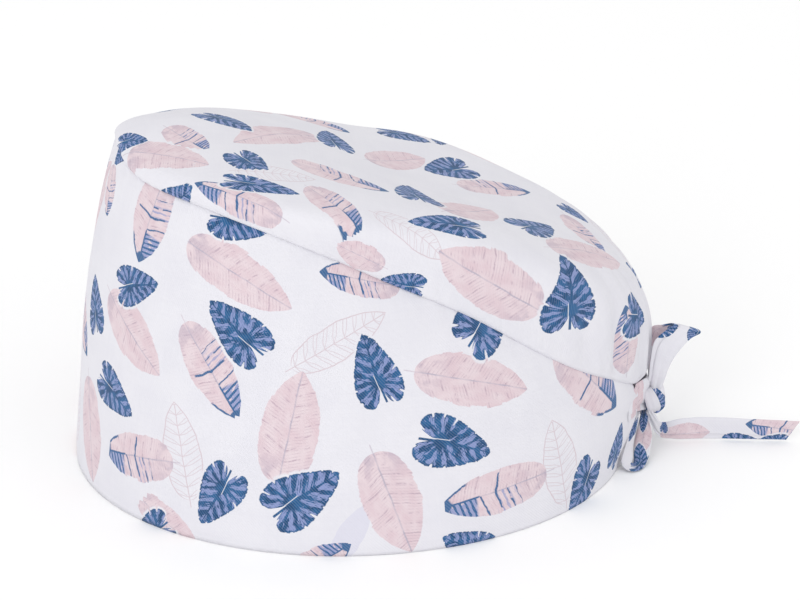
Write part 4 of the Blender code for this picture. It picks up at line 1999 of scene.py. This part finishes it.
@dataclass(frozen=True)
class Ribbon:
    """A tie folded double: two layers round a closed section that follows its rungs."""

    name: str
    node: str
    rungs: tuple[Rung, ...]
    patches: tuple[Patch, ...]
    face: float = 1.0
    step: float = 0.0006
    gather_depth: float = 0.0006
    gather_reach: float = 0.006
    gather_folds: float = 2.5
    crease_depth: float = 0.00035
    crease_scale: float = 190.0
    crease_climb: float = 1.5
    crease_seed: float = 2.0
    edge_calm: float = 2.4
    end_share: float = 0.35
    end_reach: float = 0.0025
    floor_gap: float = 0.0002
    flat_width: float = 0.0100
    fold_share: float = 0.8
    least_length: float = 0.010
    least_share: float = 0.31
    face_share: float = 0.95
    merge: float = 1e-7
    loose_start: bool = False
    loose_end: bool = False
    section: tuple[tuple[float, float], ...] = (
        (-0.500, -0.10), (-0.485, 0.02), (-0.430, 0.05), (-0.330, 0.02), (-0.282, -0.06),
        (-0.276, 0.34), (-0.262, 0.46), (-0.200, 0.48), (-0.100, 0.47), (0.000, 0.46),
        (0.120, 0.46), (0.250, 0.45), (0.370, 0.43), (0.450, 0.34), (0.490, 0.18),
        (0.500, 0.00), (0.490, -0.18), (0.450, -0.30), (0.370, -0.36), (0.250, -0.38),
        (0.120, -0.38), (0.000, -0.38), (-0.120, -0.38), (-0.250, -0.38), (-0.370, -0.36),
        (-0.450, -0.28), (-0.490, -0.14),
    )

    def route(self, middle: Vector) -> list[tuple[Vector, Vector]]:
        """Return evenly spaced places of the two edges along the smooth route.

        Args:
            middle: the knot's middle.

        Returns:
            The pairs of edge and fold, in metres.
        """
        rungs = [(middle + Vector(rung.edge) / MM_PER_M, middle + Vector(rung.fold) / MM_PER_M)
                 for rung in self.rungs]
        last = len(rungs) - 1
        route = [rungs[0]]
        for index in range(last):
            rows = (rungs[max(index - 1, 0)], rungs[index], rungs[index + 1],
                    rungs[min(index + 2, last)])
            span = (sum(rows[2], Vector()) - sum(rows[1], Vector())).length * 0.5
            count = max(1, round(span / self.step))
            for tick in range(1, count + 1):
                t = tick / count
                route.append(tuple(
                    0.5 * (2 * b + (c - a) * t + (2 * a - 5 * b + 4 * c - d) * t ** 2
                           + (3 * b - a - 3 * c + d) * t ** 3)
                    for a, b, c, d in zip(*rows)))
        return route

    def swell(self, travel: Sequence[float], column: int, row: int, centre: Vector) -> float:
        """Return how far the cloth stands off the ribbon's middle surface.

        Args:
            travel: the length of the route up to each column.
            column: the step along the route.
            row: the step round the section.
            centre: the middle line's point there.

        Returns:
            The distance, less than 0 on the back.
        """
        side, depth = self.section[row % len(self.section)]
        start, end = travel[column], travel[-1] - travel[column]
        tied = min(1.0 if self.loose_start else start, 1.0 if self.loose_end else end)
        loose = min(start if self.loose_start else 1.0, end if self.loose_end else 1.0)
        gather = math.exp(-tied / self.gather_reach) * self.gather_depth
        wave = math.cos(TWO_PI * self.gather_folds * (side + 0.5))
        shift = Vector((side * self.crease_climb, 0.0, self.crease_seed))
        crease = noise.noise(centre * self.crease_scale + shift) * self.crease_depth
        flatten = self.end_share + (1.0 - self.end_share) * fade_in(loose, self.end_reach)
        calm = 1.0 - self.edge_calm * side * side
        return depth / MM_PER_M * flatten + gather * wave + crease * calm

    def mesh(self, middle: Vector) -> bpy.types.Mesh:
        """Return the ribbon's mesh with its print.

        Args:
            middle: the knot's middle.

        Returns:
            The mesh.
        """
        route = self.route(middle)
        last = len(route) - 1
        count = len(self.section)
        centres = [(edge + fold) * 0.5 for edge, fold in route]
        travel = [0.0]
        for before, after in zip(centres, centres[1:]):
            travel.append(travel[-1] + (after - before).length)

        def place(column: int, row: int) -> Vector:
            """Bend the ribbon along its route, kept over the floor.

            Args:
                column: the column.
                row: the row.

            Returns:
                The cloth's point.
            """
            edge, fold = route[column]
            width = fold - edge
            along = centres[min(column + 1, last)] - centres[max(column - 1, 0)]
            normal = width.cross(along.normalized()).normalized() * self.face
            side, _ = self.section[row % count]
            centre = centres[column]
            spot = centre + width * side + normal * self.swell(travel, column, row, centre)
            spot.z = max(spot.z, self.floor_gap)
            return spot

        shape = bmesh.new()
        bmesh.ops.create_grid(shape, x_segments=last, y_segments=count, size=0.5)
        layer = shape.loops.layers.uv.new("cloth")
        cells = {vert: (round((vert.co.x + 0.5) * last), round((vert.co.y + 0.5) * count))
                 for vert in shape.verts}
        perimeter = [0.0]
        for row in range(count):
            (a, _), (b, _) = self.section[row], self.section[(row + 1) % count]
            perimeter.append(perimeter[-1] + abs(b - a) * self.flat_width * self.fold_share)
        for face in shape.faces:
            for loop in face.loops:
                column, row = cells[loop.vert]
                loop[layer].uv = (travel[column], perimeter[row])
        for vert, cell in cells.items():
            vert.co = place(*cell)
        bmesh.ops.remove_doubles(shape, verts=shape.verts, dist=self.merge)
        bmesh.ops.holes_fill(shape, edges=[edge for edge in shape.edges if edge.is_boundary],
                             sides=0)
        bmesh.ops.recalc_face_normals(shape, faces=shape.faces)
        mesh = take_mesh(shape, self.name)
        mesh.shade_smooth()
        stamps = [stamp_on(patch.leaf, Vector((patch.along, patch.across, 0.0)) / MM_PER_M,
                           LEVEL, ASIDE, patch.turn, patch.size / MM_PER_M,
                           seed_of(index + len(self.name)))
                  for index, patch in enumerate(self.patches)]
        print_cloth(mesh, stamps, on_flat=True)
        return mesh

    def length(self, middle: Vector) -> float:
        """Return the length of the ribbon's middle line."""
        centres = [(edge + fold) * 0.5 for edge, fold in self.route(middle)]
        return sum((after - before).length for before, after in zip(centres, centres[1:]))

    def build(self, wardrobe: Wardrobe) -> bpy.types.Object:
        """Make the ribbon and stand it in for its solid.

        Args:
            wardrobe: the cloths.

        Returns:
            The piece.
        """
        middle = knot_middle()
        mesh = self.mesh(middle)
        mesh.materials.append(wardrobe.tie)
        piece = add_object(self.name, mesh)
        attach(piece, BODY)
        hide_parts(self.node)
        length = max(self.least_length, self.length(middle))
        one_face = 0.5 * sum(face.area for face in mesh.polygons)
        max(self.least_share * self.flat_width * length,
                          self.face_share * one_face)
        return piece


def knot_middle() -> Vector:
    """Return the middle of the knot's solid."""
    low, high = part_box("tie_knot")
    return (Vector(low) + Vector(high)) * 0.5


@dataclass(frozen=True)
class Knot:
    """The tight knot: a bundle of folds with one wrap drawn over its front."""

    node: str = "tie_knot"
    rings: int = 40
    half: Point = (4.2, 4.1, 5.6)
    shift: Point = (0.7, 0.2, 0.0)
    roundness: float = 2.6
    fold_depth: float = 0.0005
    fold_share: float = 0.7
    fold_way: Point = (5.85, 1.5, -4.875)
    crease_scale: float = 1.9
    crease_shift: Point = (2.0, 0.0, 1.0)
    wrap_gather: float = 0.0003
    leaf: Patch = Patch(Leaf.HEART, -0.5, -0.2, -46.0, 9.5)
    leaf_seed: float = 0.5
    fill: float = 0.8

    def bundle(self, middle: Vector) -> bpy.types.Mesh:
        """Return the bundle behind the wrap.

        Args:
            middle: the knot's middle.

        Returns:
            The mesh with its print.
        """
        half = Vector(self.half) / MM_PER_M
        middle = middle + Vector(self.shift) / MM_PER_M
        shape = bmesh.new()
        bmesh.ops.create_uvsphere(shape, u_segments=self.rings * 2, v_segments=self.rings,
                                  radius=1.0)
        layer = shape.loops.layers.uv.new("cloth")
        for vert in shape.verts:
            way = vert.co.normalized()
            norm = sum(abs(part) ** self.roundness for part in way)
            way = way * norm ** (-1.0 / self.roundness)
            fold = math.cos(way.dot(Vector(self.fold_way))) * self.fold_share
            crease = noise.noise(way * self.crease_scale + Vector(self.crease_shift))
            scale = 1.0 + (fold + crease) * self.fold_depth / half.x
            vert.co = middle + way * half * scale
        for face in shape.faces:
            for loop in face.loops:
                spot = loop.vert.co - middle
                loop[layer].uv = (spot.x, spot.z)
        mesh = take_mesh(shape, "knot_bundle")
        mesh.shade_smooth()
        leaf = self.leaf
        stamp = stamp_on(leaf.leaf, Vector((leaf.along, leaf.across, 0.0)) / MM_PER_M, LEVEL,
                         ASIDE, leaf.turn, leaf.size / MM_PER_M, self.leaf_seed)
        print_cloth(mesh, [stamp], on_flat=True)
        return mesh

    def build(self, wardrobe: Wardrobe) -> bpy.types.Object:
        """Make the knot, print it and stand it in for its solid.

        Args:
            wardrobe: the cloths.

        Returns:
            The piece.
        """
        middle = knot_middle()
        wrap = Ribbon("knot_wrap", self.node, KNOT_WRAP, (), gather_depth=self.wrap_gather)
        shape = bmesh.new()
        for mesh in (self.bundle(middle), wrap.mesh(middle)):
            shape.from_mesh(mesh)
            bpy.data.meshes.remove(mesh)
        mesh = take_mesh(shape, "knot_cloth")
        mesh.materials.append(wardrobe.tie)
        piece = add_object("knot_cloth", mesh)
        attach(piece, BODY)
        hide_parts(self.node)
        return piece


@dataclass(frozen=True)
class TieEnds:
    """The ends of both ties that are worked out from the band: the roots and far tail."""

    form: CapForm
    lap: float = 0.0130
    knot_half: float = 0.0042
    root_foot: float = 0.0166
    root_reach: float = 0.0275
    root_rise: float = 0.0030
    root_dip: float = 0.001
    root_steps: tuple[float, ...] = (1.0, 0.8, 0.6, 0.4, 0.2)
    root_end: Rung = Rung((-2.6, -2.4, -3.6), (-1.8, -2.4, 9.6))
    standoff: float = 0.0008
    sink: float = 1.3
    tail_starts: tuple[Rung, ...] = (
        Rung((-0.6, 2.6, -8), (0.4, 2.8, -1.2)),
        Rung((-0.4, 6.4, -11.4), (-0.2, 6.6, -4)),
    )
    tail_offset: float = 0.016
    tail_turn: float = 8.0
    tail_steps: tuple[float, ...] = (0.0, 0.25, 0.5, 0.75, 1.0)
    tail_length: float = 0.0400
    tail_standoff: float = 0.0024
    tail_swing: float = 0.001
    tail_drop: float = 0.0030
    tail_foot: float = 0.0006
    tail_top: float = 0.0084

    def rung(self, angle: float, foot: float, top: float, away: Vector) -> Rung:
        """Return a rung that stands off the wall.

        Args:
            angle: degrees round the cap.
            foot: the height of its lower end.
            top: the height of its upper end.
            away: how far it stands off.

        Returns:
            The rung.
        """
        middle = knot_middle()
        ends = [(self.form.wall_point(angle, height) + away - middle) * MM_PER_M
                for height in (foot, top)]
        return Rung(tuple(ends[0]), tuple(ends[1]))

    def root(self, side: int) -> tuple[Rung, ...]:
        """Lead a root from the band's end to the knot.

        Args:
            side: 1 for the near side and -1 for the far side.

        Returns:
            The root's rungs.
        """
        rungs = []
        for share in self.root_steps:
            turn = math.degrees((self.knot_half + self.lap * share) / self.form.half_width)
            angle = self.form.back_angle - side * turn
            away = self.form.outward(angle) * self.standoff * (1.0 - self.sink * share ** 3)
            foot = self.root_foot - self.root_dip * (1.0 - share)
            top = min(self.root_reach,
                      self.form.seam_height(angle) + self.root_rise * (1.0 - share))
            rungs.append(self.rung(angle, foot, top, away))
        rungs.append(Rung(*((x, y * side, z) for x, y, z in self.root_end)))
        return tuple(rungs)

    def far_tail(self) -> tuple[Rung, ...]:
        """Lead the tail on the hidden side along the rim.

        Returns:
            The tail's rungs.
        """
        rungs = list(self.tail_starts)
        offset = self.tail_offset + knot_middle().y
        start = HALF_TURN + math.degrees(offset / self.form.half_width) + self.tail_turn
        sweep = math.degrees(self.tail_length / self.form.back_reach)
        for share in self.tail_steps:
            angle = start + sweep * share
            rest = 1.0 - share
            away = self.form.outward(angle) * (self.tail_standoff + self.tail_swing * rest)
            drop = self.tail_drop * rest ** 3
            rungs.append(self.rung(angle, self.tail_foot + drop, self.tail_top + drop, away))
        return tuple(rungs)


@dataclass(frozen=True)
class Studio:
    """Pale floor, soft lights and the camera at the photograph's angle."""

    azimuth: float = -5.0
    elevation: float = 24.0
    distance: float = 1.10
    target: Point = (0.0, 0.0, 0.060)
    focal_pixels: float = 3016.0
    target_pixel: tuple[float, float] = (346.0, 294.0)
    image_size: tuple[int, int] = (800, 600)
    sensor: float = 36.0
    floor_size: float = 12.0
    floor_shade: float = 0.99
    floor_roughness: float = 0.9
    sky_strength: float = 0.96
    lamp_size: float = 0.8
    key_place: Point = (-0.85, -1.30, 0.80)
    key_power: float = 5.4
    fill_place: Point = (1.10, -1.20, 0.70)
    fill_power: float = 1.6

    def add_camera(self) -> None:
        """Aim the camera as the photograph was taken."""
        width, height = self.image_size
        data = bpy.data.cameras.new("view")
        data.sensor_width = self.sensor
        data.lens = self.focal_pixels / width * self.sensor
        data.shift_x = (0.5 * width - self.target_pixel[0]) / width
        data.shift_y = -(0.5 * height - self.target_pixel[1]) / width
        camera = add_object("view", data)
        turn = math.radians(self.azimuth)
        rise = math.radians(self.elevation)
        back = Vector((math.sin(turn) * math.cos(rise), -math.cos(turn) * math.cos(rise),
                       math.sin(rise)))
        camera.location = Vector(self.target) + back * self.distance
        camera.rotation_euler = (-back).to_track_quat("-Z", "Y").to_euler()
        bpy.context.scene.camera = camera

    def add_light(self, name: str, place: Point, power: float) -> None:
        """Hang a soft square light that faces the cap.

        Args:
            name: the light's name.
            place: where it hangs.
            power: its power in watts.
        """
        data = bpy.data.lights.new(name, "AREA")
        data.size = self.lamp_size
        data.energy = power
        light = add_object(name, data)
        light.location = place
        aim = Vector(self.target) - Vector(place)
        light.rotation_euler = aim.to_track_quat("-Z", "Y").to_euler()

    def build(self) -> None:
        """Lay the floor, light it and place the camera."""
        shape = bmesh.new()
        bmesh.ops.create_grid(shape, x_segments=1, y_segments=1, size=0.5 * self.floor_size)
        mesh = take_mesh(shape, "floor")
        material = bpy.data.materials.new("pale_floor")
        material.use_nodes = True
        shader = material.node_tree.nodes["Principled BSDF"]
        shader.inputs["Base Color"].default_value = (*[self.floor_shade] * 3, 1.0)
        shader.inputs["Roughness"].default_value = self.floor_roughness
        mesh.materials.append(material)
        floor = add_object("floor", mesh)
        world = bpy.data.worlds.new("studio")
        world.use_nodes = True
        backdrop = world.node_tree.nodes["Background"]
        backdrop.inputs["Color"].default_value = (1.0, 1.0, 1.0, 1.0)
        backdrop.inputs["Strength"].default_value = self.sky_strength
        bpy.context.scene.world = world
        bpy.context.scene.view_settings.view_transform = "Standard"
        self.add_light("key", self.key_place, self.key_power)
        self.add_light("fill", self.fill_place, self.fill_power)
        self.add_camera()


def ribbons(form: CapForm) -> list[Ribbon]:
    """Return every ribbon of the bow.

    Args:
        form: the cap's shape, which the roots and the far tail follow.

    Returns:
        The ribbons.
    """
    ends = TieEnds(form)
    root = partial(Ribbon, loose_start=True, flat_width=ROOT_WIDTH, gather_depth=ROOT_GATHER)
    return [
        root("near_root_cloth", "near_tie_root", ends.root(1), NEAR_ROOT_PRINT, face=-1.0),
        root("far_root_cloth", "far_tie_root", ends.root(-1), FAR_ROOT_PRINT),
        Ribbon("upper_loop_cloth", "upper_loop", UPPER_LOOP, UPPER_PRINT),
        Ribbon("hanging_loop_cloth", "hanging_loop", HANGING_LOOP, HANGING_PRINT),
        Ribbon("near_tail_cloth", "near_tail", NEAR_TAIL, NEAR_TAIL_PRINT, face=-1.0,
               loose_end=True),
        Ribbon("far_tail_cloth", "far_tail", ends.far_tail(), FAR_TAIL_PRINT,
               loose_end=True),
    ]


def main() -> None:
    """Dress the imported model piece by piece."""
    logging.basicConfig(level=logging.INFO, format="%(name)s: %(message)s")
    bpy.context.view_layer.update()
    Studio().build()
    wardrobe = Wardrobe.stock()
    form = CapForm()
    for builder in (SideBand(form), Crown(form), Knot(), *ribbons(form)):
        piece = builder.build(wardrobe)
        LOG.info("made %s", piece.name)
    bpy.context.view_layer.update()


if __name__ == "__main__":
    main()
